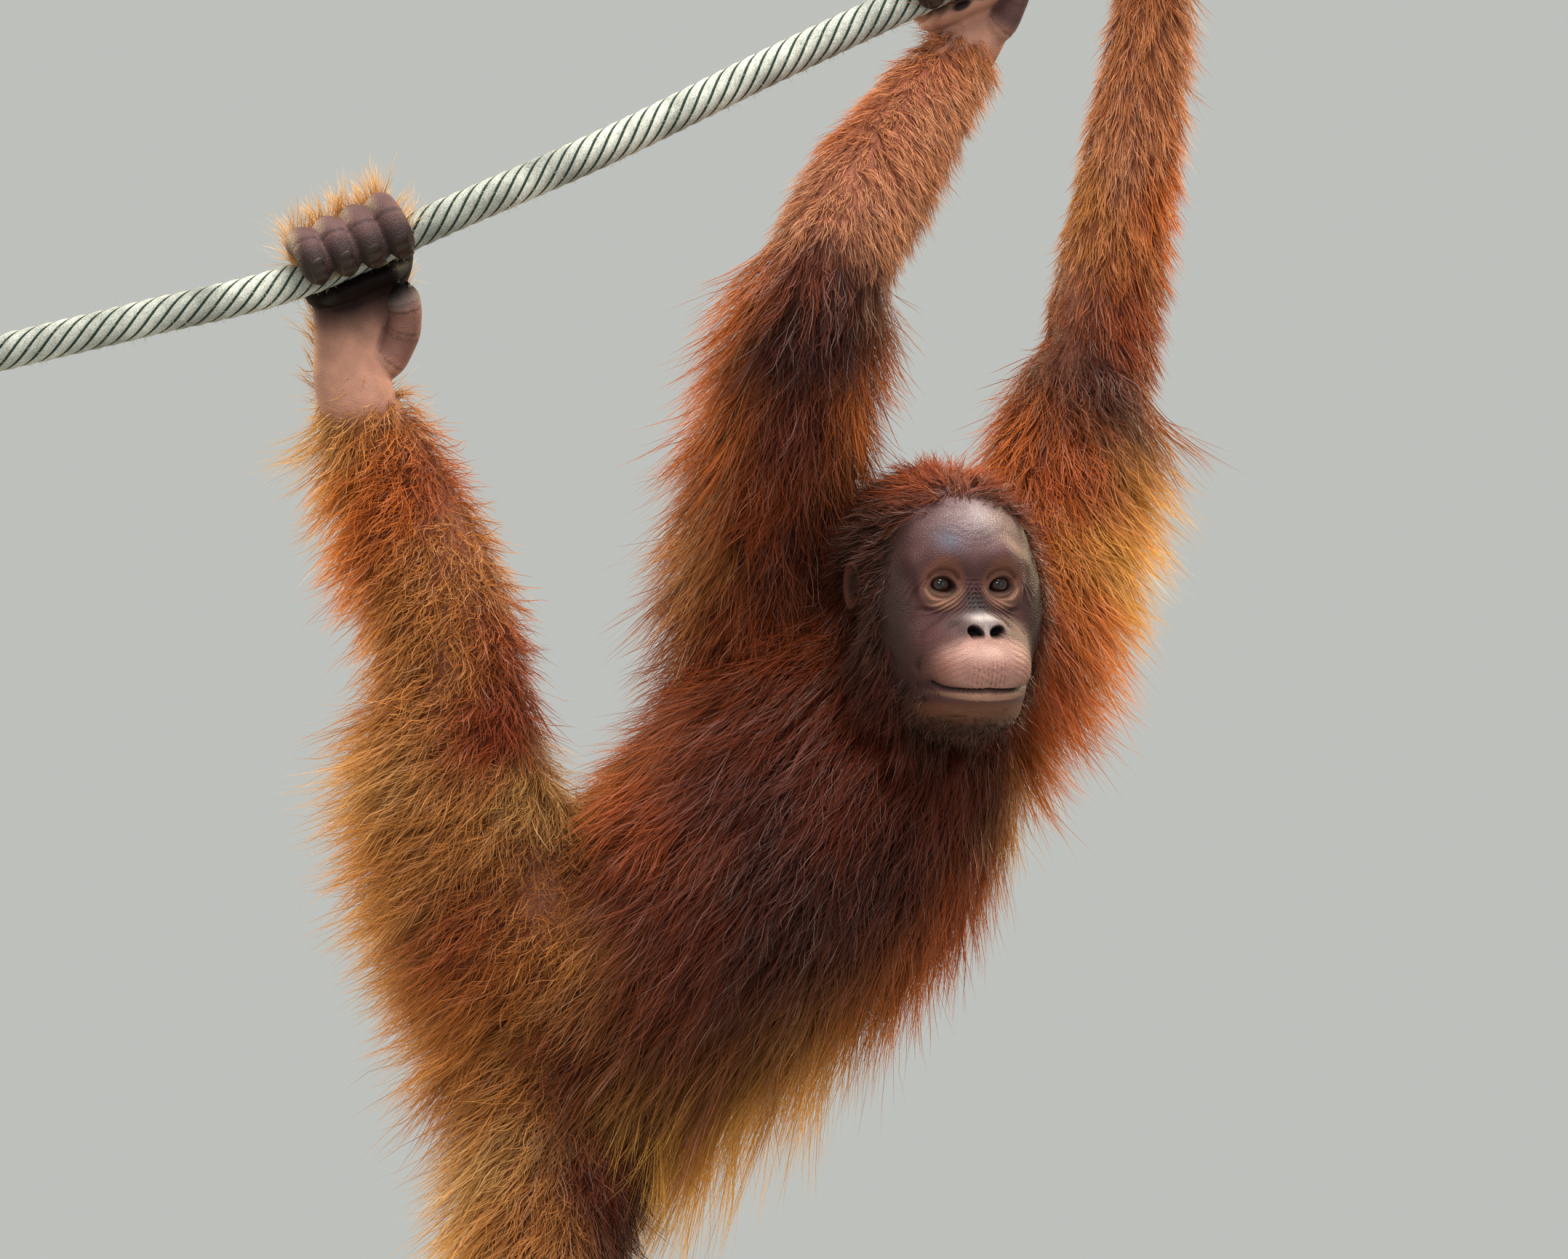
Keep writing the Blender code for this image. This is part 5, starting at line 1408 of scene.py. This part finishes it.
def grow(name, roots, normals, uv, guides, guide_roots, coat, look, draw):
    """Strands round their locks' middle lines, drawn together towards the tips, wavy and of mixed length."""
    finder = KDTree(len(guide_roots))
    for i, place in enumerate(guide_roots):
        finder.insert(place, i)
    finder.balance()
    own = np.array([finder.find(place)[1] for place in roots])
    count = len(roots)
    rings = coat["segments"] + 1
    shares = np.linspace(0, 1, rings)[None]
    far = shares[..., None]
    reach = draw.uniform(0.55, 1.08, count)[:, None]
    paths = along_guides(guides[own], shares * reach)
    beyond = np.maximum(shares * reach - 1, 0)[..., None]
    tips = guides[own][:, -1] - guides[own][:, -2]
    paths = paths + beyond * GUIDE_STEPS * tips[:, None]
    clump = draw.uniform(look["clump"] - 0.3, look["clump"] + 0.3, count)[:, None, None]
    offset = (roots - guide_roots[own])[:, None]
    paths = paths + offset * (1 - np.clip(clump, 0, 0.96) * far ** 0.75)
    wave = look["wave"] * far ** 1.2
    phase = draw.uniform(0, 2 * math.pi, (count, 1, 1))
    lock_phase = (own * LOCK_PHASE_STEP % (2 * math.pi))[:, None, None]
    sway = unit(np.cross(normals, tips))[:, None]
    paths = paths + sway * np.sin(far * look["turns"] * math.pi + lock_phase) * wave
    paths = paths + draw.normal(0, 1, (count, 1, 3)) * far ** 1.5 * look["stray"]
    paths = paths + sway * np.sin(far * 7 + phase) * wave * 0.4
    loose = (draw.random(count) < FLYAWAY_SHARE)[:, None, None] * draw.uniform(0.3, 1, (count, 1, 1))
    paths = paths + normals[:, None] * loose * look["flyaway"] * far ** 1.3
    paths[:, 0] = roots - normals * 1.5
    root_tone, tip_tone = tone_at(roots)
    lock_shade = (1 + 0.08 * np.sin(own * LOCK_SHADE_STEP))[:, None]
    strand_shade = draw.uniform(0.72, 1.28, (count, 1))
    tones = (root_tone * lock_shade * strand_shade * 0.9, tip_tone * lock_shade * strand_shade)
    rolled = unit(normals + draw.normal(0, 0.45, normals.shape))
    widths = draw.uniform(0.8, 1.25, count) * look["width"]
    return strand_mesh(name, paths, rolled, widths, tones, uv, look["material"])


# Places where the skin shows through: middle, size and how much of the coat is missing.
BARE_PLACES = [
    ((-166, -70, 705), (40, 50, 46), 0.85), ((-240, -60, 1005), (24, 40, 56), 0.75),
    ((-172, -90, 585), (22, 40, 16), 0.8), ((212, 80, 1180), (20, 40, 60), 0.7),
    ((60, -140, 1245), (34, 50, 40), 0.35), ((-262, -70, 880), (26, 40, 40), 0.4),
]
# The long tuft that hangs from the flank under the belly: middle, size and how much longer it is.
TUFT_MIDDLE, TUFT_SIZE, TUFT_LONGER = (-8, 40, 606), (85, 90, 50), 1.3


def near_place(points, middle, size):
    """1 at a place on the body, fading over its size."""
    return np.exp(-(((points - middle) / size) ** 2).sum(axis=1))


def bareness(points):
    """The share of the coat that is missing at each place."""
    found = np.zeros(len(points))
    for middle, size, share in BARE_PLACES:
        found = np.maximum(found, share * near_place(points, middle, size))
    return found


def skin_map(angle, along_share):
    """Places on the baking map, from the angle round a form and the share along it."""
    return np.column_stack([angle / (2 * math.pi) + 0.5, along_share]) * MAP_SHARE


def body_guides(tree, roots, normals, coat, draw):
    """The locks of a part: combed down, longer and lifted at its fringe, short on bare places."""
    count = len(roots)
    lean = np.array(coat["comb"]) + normals * (0.3, 0.18, 0) + draw.normal(0, 0.12, roots.shape)
    fringe = np.clip(normals @ unit(np.array(coat["fringe"], float)), 0, 1)
    lift = coat["lift"] + (coat["fringe_lift"] - coat["lift"]) * fringe
    lift = lift * draw.uniform(0.35, 1, count)
    free = smooth_step(0.0, 0.6, fringe)
    length = coat["length"] * (coat["sleek"] + (1 - coat["sleek"]) * free) * draw.uniform(0.7, 1.15, count)
    length = length * (1 + TUFT_LONGER * near_place(roots, TUFT_MIDDLE, TUFT_SIZE))
    length = length * (1 - 0.75 * bareness(roots))
    return comb_guides(tree, roots, normals, unit(lean), coat["outward"], length, lift, draw)


def body_coat(base):
    """Long coat over the limbs and trunk, one piece to a part, the trunk's in two for its size."""
    draw = np.random.default_rng(SEED)
    corners, triangles = corners_of(base), triangles_of(base)
    tree, middles, facing = surface_of(corners, triangles)
    region, _, _ = region_of(middles, BODY.values())
    in_skull = head_distance(moved(WORLD_TO_HEAD, middles)) < -2
    hair = fur_material("long_coat", 0.42)
    made = []
    for number, name in enumerate(REGIONS):
        coat = dict(zip(COAT_FIELDS, COATS[name]))
        look = dict(SHORT_LOOK if coat["segments"] < 5 else LONG_LOOK, material=hair)
        weights = ((region == number) & ~in_skull) * (1 - bareness(middles))
        halves = [("", weights)]
        if name == "torso":
            halves = [("_front", weights * (facing[:, 1] < 0)), ("_back", weights * (facing[:, 1] >= 0))]
        for ending, share in halves:
            guide_roots, at = scatter(corners, triangles, share, coat["locks"] // len(halves), draw)
            guides = body_guides(tree, guide_roots, facing[at], coat, draw)
            roots, at = scatter(corners, triangles, share, coat["strands"] // len(halves), draw)
            _, along_share, angle = region_of(roots, BODY.values())
            uv = skin_map(angle, along_share)
            piece = f"coat_{name}{ending}"
            made.append(grow(piece, roots, facing[at], uv, guides, guide_roots, coat, look, draw))
    return made


# How high the bare forehead reaches above the middle of the head, and the head's strands and locks.
HAIRLINE = 75
HEAD_STRANDS, HEAD_LOCKS = 24000, 2400


def crown_net():
    """A net over the head from pole to pole: its corners and triangles."""
    rings, segments = 90, 120
    rise, turn = np.meshgrid(
        np.linspace(0.01, math.pi - 0.01, rings), np.linspace(0, 2 * math.pi, segments, endpoint=False),
        indexing="ij",
    )
    net = np.stack([np.sin(rise) * np.cos(turn), np.sin(rise) * np.sin(turn), np.cos(rise)], axis=-1)
    directions = net.reshape(-1, 3)
    triangles = []
    for a, b, c, d in net_faces(rings, segments):
        triangles += [(a, d, b), (b, d, c)]
    return directions * to_head_surface(directions)[:, None], np.array(triangles)


def head_cover(points):
    """How thickly hair grows at places on the head: crown, sides, throat and beard, not the ears."""
    x, y, z = mirrored(points).T
    hairline = HAIRLINE - 0.007 * x**2
    crown = smooth_step(-7, 7, z - hairline + np.maximum(20 - y, 0) * 3)
    side = smooth_step(48, 60, x + np.maximum(10 - y, 0) * 2.0) * smooth_step(48, 34, y)
    throat = smooth_step(34, 10, y) * smooth_step(-10, -50, z)
    beard = smooth_step(-78, -100, z) * 0.55 + smooth_step(32, 48, x) * smooth_step(-50, -76, z) * 0.45
    cover = np.clip(np.maximum.reduce([crown, side, throat, beard]), 0, 1)
    cover[(x > 50) & (np.hypot((y - EAR_MIDDLE.y) / 14, (z - EAR_MIDDLE.z) / 19) < 0.9)] = 0
    return cover


def head_guides(tree, roots, normals, draw):
    """The locks of the head: swept back from the brow, down at the sides, short at chin and ears."""
    x, y, z = roots.T
    count = len(roots)
    spread = np.clip(x / 34, -1, 1)
    crown_comb = np.column_stack([spread * 0.7, -0.55 + 0.3 * np.abs(spread), -0.15 - 0.35 * np.abs(spread)])
    down = np.column_stack([np.sign(x) * 0.1, np.full(count, -0.3), np.full(count, -0.9)])
    comb = mixed(crown_comb, down, smooth_step(50, 5, z))
    low = smooth_step(20, -60, z)
    chin = smooth_step(24, 46, y) * smooth_step(-48, -70, z)
    length = (30 + 34 * low * smooth_step(44, 5, y)) * (1 - 0.72 * chin) * draw.uniform(0.6, 1.2, count)
    lift = (13 + 6 * low) * draw.uniform(0.3, 1, count) * (1 - 0.7 * chin)
    by_ear = smooth_step(38, 24, np.hypot(y - EAR_MIDDLE.y - 8, z - EAR_MIDDLE.z)) * (np.abs(x) > 40)
    length = length * (1 - 0.62 * by_ear)
    lift = lift * (1 - 0.75 * by_ear)
    lean = unit(comb + draw.normal(0, 0.22, comb.shape))
    return comb_guides(tree, roots, normals, lean, 0.3, length, lift, draw)


def head_coat():
    """Short coat of the crown, the sides of the head, the beard and the throat."""
    draw = np.random.default_rng(SEED + 1)
    corners, triangles = crown_net()
    tree, middles, facing = surface_of(corners, triangles)
    facing *= np.sign((facing * middles).sum(axis=1))[:, None]
    cover = head_cover(middles)
    hair = fur_material("short_coat", 0.45)
    look = dict(SHORT_LOOK, clump=0.35, width=0.62, wave=2.2, stray=3.4, flyaway=9, material=hair)
    guide_roots, at = scatter(corners, triangles, cover, HEAD_LOCKS, draw)
    guides = head_guides(tree, guide_roots, facing[at], draw)
    roots, at = scatter(corners, triangles, cover, HEAD_STRANDS, draw)
    ways = unit(roots)
    uv = skin_map(np.arctan2(ways[:, 1], ways[:, 0]), np.arccos(np.clip(ways[:, 2], -1, 1)) / math.pi)
    world_guides = moved(HEAD_TO_WORLD, guides.reshape(-1, 3)).reshape(guides.shape)
    return grow(
        "coat_head", moved(HEAD_TO_WORLD, roots), turned(HEAD_TO_WORLD, facing[at]), uv, world_guides,
        moved(HEAD_TO_WORLD, guide_roots), SHORT_COAT, look, draw,
    )


# The coat of each paw: its palm, the way its back faces, and the hair's length, lift and strands.
PAW_COATS = {
    "foot_right": (FOOT_RIGHT, (-0.4, 1, 0.1), 32, 11, 5200),
    "hand_right": (HAND_RIGHT, (-0.2, 1, 0), 22, 7, 3000),
    "hand_left": (HAND_LEFT, (0.2, 1, 0), 22, 7, 3000),
    "foot_left": (FOOT_LEFT, (0, -0.7, 0.7), 20, 6, 2600),
}


def paw_cover(rows, back, thumb, middles, facing):
    """How thickly hair grows on a paw's triangles; also their height up the palm, and the way up."""
    wrist, knuckles = np.array(rows[0][:3], float), np.array(rows[-1][:3], float)
    span = np.linalg.norm(knuckles - wrist)
    axis = (knuckles - wrist) / span
    height = (middles - wrist) @ axis / span
    axis_points = wrist + np.clip(height, 0, 1)[:, None] * axis * span
    off_palm = np.linalg.norm((middles - axis_points) * (1, 0, 1), axis=1)
    behind = facing @ unit(np.array(back, float))
    cover = smooth_step(-0.1, 0.45, behind) * smooth_step(1.9, 1.5, height)
    cover = np.maximum(cover, smooth_step(0.14, -0.02, height)) * (height > -0.2)
    cover *= np.where(height < 0.95, smooth_step(44, 36, off_palm), smooth_step(0.2, 0.7, behind))
    off_thumb = np.linalg.norm(middles[:, None] - thumb[None], axis=2).min(axis=1)
    return cover * smooth_step(20, 30, off_thumb), height, axis


def paw_coats(forms):
    """Short hair on the backs of the hands and feet, as far as the roots of the digits."""
    draw = np.random.default_rng(SEED + 3)
    hair = fur_material("paw_coat_hair", 0.45)
    look = dict(SHORT_LOOK, material=hair, stray=4.5, width=0.42, clump=0.15, flyaway=9)
    made = []
    for number, (name, (corners, triangles)) in enumerate(forms.items()):
        rows, back, reach, rise, count = PAW_COATS[name]
        tree, middles, facing = surface_of(corners, triangles)
        thumb = DIGIT_PATHS[5 * number + 4][0][::6]
        cover, height, axis = paw_cover(rows, back, thumb, middles, facing)
        locks = count // 8
        guide_roots, at = scatter(corners, triangles, cover, locks, draw)
        towards_digits = np.clip(height[at] * 3 - 0.7, -0.7, 0.8)[:, None]
        comb = unit(axis * towards_digits + facing[at] * 0.3 + draw.normal(0, 0.25, (locks, 3)))
        length = reach * draw.uniform(0.6, 1.15, locks)
        lift = rise * draw.uniform(0.3, 1, locks)
        guides = comb_guides(tree, guide_roots, facing[at], comb, 0.4, length, lift, draw)
        roots, at = scatter(corners, triangles, cover, count, draw)
        _, along_share, angle = region_of(roots, [rows])
        uv = skin_map(angle, along_share)
        made.append(
            grow(f"coat_{name}", roots, facing[at], uv, guides, guide_roots, SHORT_COAT, look, draw)
        )
    return made


# The way the eyes look, the rise and spread of the clear bulge, and how far an eyeball is set in.
GAZE = (-0.10, 1.0, -0.02)
BULGE_RISE, BULGE_SPREAD, EYE_SINK = 1.1, 0.42, 0.6
# Angles from an eyeball's gaze, in radians: the edges of the pupil and of the iris, and their blur.
PUPIL_EDGE, IRIS_EDGE, EDGE_BLUR = 0.31, 0.65, 0.03


def build_eye(side):
    """An eyeball with its clear bulge in front, looking a little past the viewer."""
    rings, segments = 41, 48
    gaze = unit(np.array(GAZE))
    right = unit(np.cross(gaze, (0, 0, 1)))
    up = np.cross(right, gaze)
    centre = np.array((EYE_OFFSET.x * side, EYE_OFFSET.y, EYE_OFFSET.z))
    corners = []
    for lean in np.linspace(0, math.pi, rings):
        reach = EYE_RADIUS - EYE_SINK + BULGE_RISE * fading(lean, BULGE_SPREAD)
        for turn in np.linspace(0, 2 * math.pi, segments, endpoint=False):
            out = (right * math.cos(turn) + up * math.sin(turn)) * math.sin(lean)
            corners.append(centre + (gaze * math.cos(lean) + out) * reach)
    faces = net_faces(rings, segments)
    label = "right" if side < 0 else "left"
    made = mesh_object(f"eyeball_{label}", moved(HEAD_TO_WORLD, np.array(corners)), faces)
    lean = np.repeat(np.linspace(0, math.pi, rings), segments)
    in_iris = smooth_step(IRIS_EDGE + EDGE_BLUR, IRIS_EDGE - EDGE_BLUR, lean)
    in_pupil = smooth_step(PUPIL_EDGE + EDGE_BLUR, PUPIL_EDGE - EDGE_BLUR, lean)
    tone = np.tile(linear("#241410"), (len(lean), 1))
    tone = mixed(tone, linear("#2e150a"), in_iris)
    tone = mixed(tone, linear("#0a0504"), in_iris * smooth_step(0.5, 0.6, lean))
    tone = mixed(tone, linear("#010101"), in_pupil)
    layer = made.data.color_attributes.new("tone", "FLOAT_COLOR", "POINT")
    layer.data.foreach_set("color", np.column_stack([tone, np.ones(len(tone))]).ravel())
    weld(made)
    return made, label


# The rope: how many laid strands it has, one turn of their lay, how far from the rope's middle they
# run, and half their width outward and along the round. The marker yarn lies further out. Then the
# stations along the rope, and how many loose fibres it has.
ROPE_STRANDS = 7
ROPE_LAY = 92
STRAND_CENTRE = 10.4
STRAND_HALVES = (3.6, 4.5)
MARKER_LIFT, MARKER_HALVES = 1.7, (1.3, 2.0)
ROPE_STATIONS = 560
FUZZ_COUNT = 3600


def rope_fuzz(route, along, across, deep):
    """Short loose fibres that stand off the rope."""
    draw = np.random.default_rng(SEED + 2)
    at = draw.integers(4, ROPE_STATIONS - 4, FUZZ_COUNT)
    spin = draw.uniform(0, 2 * math.pi, FUZZ_COUNT)
    normal = across[at] * np.cos(spin)[:, None] + deep[at] * np.sin(spin)[:, None]
    reach = draw.uniform(1.5, 7, (FUZZ_COUNT, 1, 1))
    lean = normal + along[at] * draw.normal(0, 0.9, (FUZZ_COUNT, 1)) + draw.normal(0, 0.3, (FUZZ_COUNT, 3))
    shares = np.linspace(0, 1, 4)[None, :, None]
    paths = (route[at] + normal * (ROPE_RADIUS - 0.8))[:, None] + unit(lean)[:, None] * shares * reach
    paths = paths + draw.normal(0, 0.25, paths.shape) * shares
    tone = np.tile(linear("#a9b09f"), (FUZZ_COUNT, 1))
    uv = np.column_stack([at / ROPE_STATIONS, spin / (2 * math.pi)]) * MAP_SHARE
    widths = draw.uniform(0.25, 0.45, FUZZ_COUNT)
    hair = fur_material("rope_fibres", 0.7)
    return strand_mesh("rope_fuzz", paths, normal, widths, (tone * 0.8, tone), uv, hair)


def build_rope():
    """Laid strands of yarn round a core, with a green marker yarn in the grooves between them."""
    route = smooth_row(ROPE_ROUTE, ROPE_STATIONS)
    along, across, deep = axes_along(route)
    length = np.concatenate([[0], np.cumsum(np.linalg.norm(np.diff(route, axis=0), axis=1))])
    turn = length / ROPE_LAY * 2 * math.pi
    strands, markers = [], []
    corners, faces = tube_mesh(route, across * STRAND_CENTRE, deep * STRAND_CENTRE, 10)
    strands.append(mesh_object("core", corners, faces))
    for k in range(ROPE_STRANDS):
        angle = turn + 2 * math.pi * k / ROPE_STRANDS
        outward = across * np.cos(angle)[:, None] + deep * np.sin(angle)[:, None]
        path = route + outward * STRAND_CENTRE
        side = unit(np.cross(unit(np.gradient(path, axis=0)), outward))
        corners, faces = tube_mesh(path, outward * STRAND_HALVES[0], side * STRAND_HALVES[1], 10)
        strands.append(mesh_object("strand", corners, faces))
        groove = angle + math.pi / ROPE_STRANDS
        outward = across * np.cos(groove)[:, None] + deep * np.sin(groove)[:, None]
        path = route + outward * (STRAND_CENTRE + MARKER_LIFT)
        side = unit(np.cross(along, outward))
        corners, faces = tube_mesh(path, outward * MARKER_HALVES[0], side * MARKER_HALVES[1], 5)
        markers.append(mesh_object("marker", corners, faces))
    rope = joined("laid_rope", strands)
    rope.data.materials.append(rope_material("weathered_rope", "#6c726c", "#d0d4cc", ROPE_FIBRE))
    marker = joined("rope_marker_yarn", markers)
    marker.data.materials.append(rope_material("green_marker_yarn", "#0b1a14", "#21392c", MARKER_FIBRE))
    return rope, marker, rope_fuzz(route, along, across, deep)


# In metres: the floor's radius, how far it lies under the stand, and the place the lamps face.
FLOOR_RADIUS, FLOOR_DROP = 3.2, 0.0005
LIT_PLACE = Vector((0, 0, 0.9))
# Soft lamps: name, place and size in metres, power and colour.
LAMPS = (
    ("key", (0.5, -2.0, 3.9), 1.1, 100, "#fff4e6"),
    ("fill", (2.6, -2.4, 1.2), 2.0, 10, "#e8f0ff"),
    ("top", (0.15, -0.3, 3.4), 1.2, 62, "#fffaf2"),
    ("catch", (-0.5, -4.0, 2.3), 0.5, 30, "#ffffff"),
    ("rim_left", (-2.4, 2.2, 2.2), 1.2, 130, "#ffe6b8"),
    ("rim_right", (2.4, 2.0, 2.4), 1.2, 130, "#ffe6b8"),
)


def build_floor():
    """A pale matt floor, far wider than the stand and just under it."""
    mesh = bpy.data.meshes.new("floor")
    bm = bmesh.new()
    bmesh.ops.create_circle(bm, cap_ends=True, segments=96, radius=FLOOR_RADIUS)
    bm.to_mesh(mesh)
    bm.free()
    floor = bpy.data.objects.new("floor", mesh)
    floor.location.z = -FLOOR_DROP
    bpy.context.scene.collection.objects.link(floor)
    made, tree, shader, place = new_material("pale_floor")
    grain = add_node(tree, "ShaderNodeTexNoise", {"Vector": place, "Scale": per_metre(FLOOR_GRAIN)})
    greys = {0: grain.outputs["Fac"], 6: rgba("#a3a49f"), 7: rgba("#acada8")}
    tint = add_node(tree, "ShaderNodeMix", greys, data_type="RGBA")
    set_inputs(tree, shader, {"Base Color": tint.outputs[2], "Roughness": 0.8})
    mesh.materials.append(made)


def build_light():
    """A pale even surround and the soft lamps."""
    world = bpy.data.worlds.new("studio")
    bpy.context.scene.world = world
    world.use_nodes = True
    surround = {"Color": rgba("#eef1ec"), "Strength": 0.6}
    set_inputs(world.node_tree, world.node_tree.nodes["Background"], surround)
    for name, place, size, power, colour in LAMPS:
        data = bpy.data.lights.new(name, "AREA")
        data.size = size
        data.energy = power
        data.color = linear(colour)
        lamp = bpy.data.objects.new(name, data)
        lamp.location = place
        lamp.rotation_euler = (LIT_PLACE - Vector(place)).to_track_quat("-Z", "Y").to_euler()
        bpy.context.scene.collection.objects.link(lamp)
    bpy.context.scene.view_settings.view_transform = "Standard"


def build_camera():
    """The picture's view: level, from the front and far off, as wide as the picture."""
    data = bpy.data.cameras.new("camera")
    data.sensor_width = SENSOR
    data.lens = SENSOR * CAMERA_AWAY / (PICTURE_WIDTH * MM)
    data.clip_end = 100
    camera = bpy.data.objects.new("camera", data)
    camera.location = PICTURE_MIDDLE * MM - Vector((0, CAMERA_AWAY, 0))
    camera.rotation_euler = (math.pi / 2, 0, 0)
    bpy.context.scene.collection.objects.link(camera)
    bpy.context.scene.camera = camera


def keep(piece, slot, *nodes):
    """Hangs a piece on the body's root and hides the nodes it stands for. The slot is not used."""
    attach(piece, "root")
    if nodes:
        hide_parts(*nodes)


def main():
    """The stage, then the skin, eyes and coat, the rope, and finishes for the stand."""
    build_floor()
    build_light()
    build_camera()
    skin, coat_base, nails, paw_forms = build_skin()
    keep(
        skin, "skin", *REGIONS, "head", "ear_left", "ear_right",
        "foot_left", "foot_right", "hand_left", "hand_right",
    )
    nails = joined("nails", nails)
    nails.data.materials.append(nail_material())
    keep(nails, "skin")
    wet = eye_material()
    for side in (-1, 1):
        eyeball, label = build_eye(side)
        eyeball.data.materials.append(wet)
        keep(eyeball, "eye", f"eye_{label}")
    coats = body_coat(coat_base)
    bpy.data.objects.remove(coat_base)
    coats.append(head_coat())
    coats += paw_coats(paw_forms)
    for coat in coats:
        keep(coat, "coat")
    rope, marker, fuzz = build_rope()
    keep(rope, "rope", "perch_rope")
    keep(marker, "rope")
    keep(fuzz, "rope")
    for name, finish in (("stand_base", stand_base_material()), ("stand_rod", stand_rod_material())):
        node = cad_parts[name]
        node.data.materials.clear()
        node.data.materials.append(finish)


main()
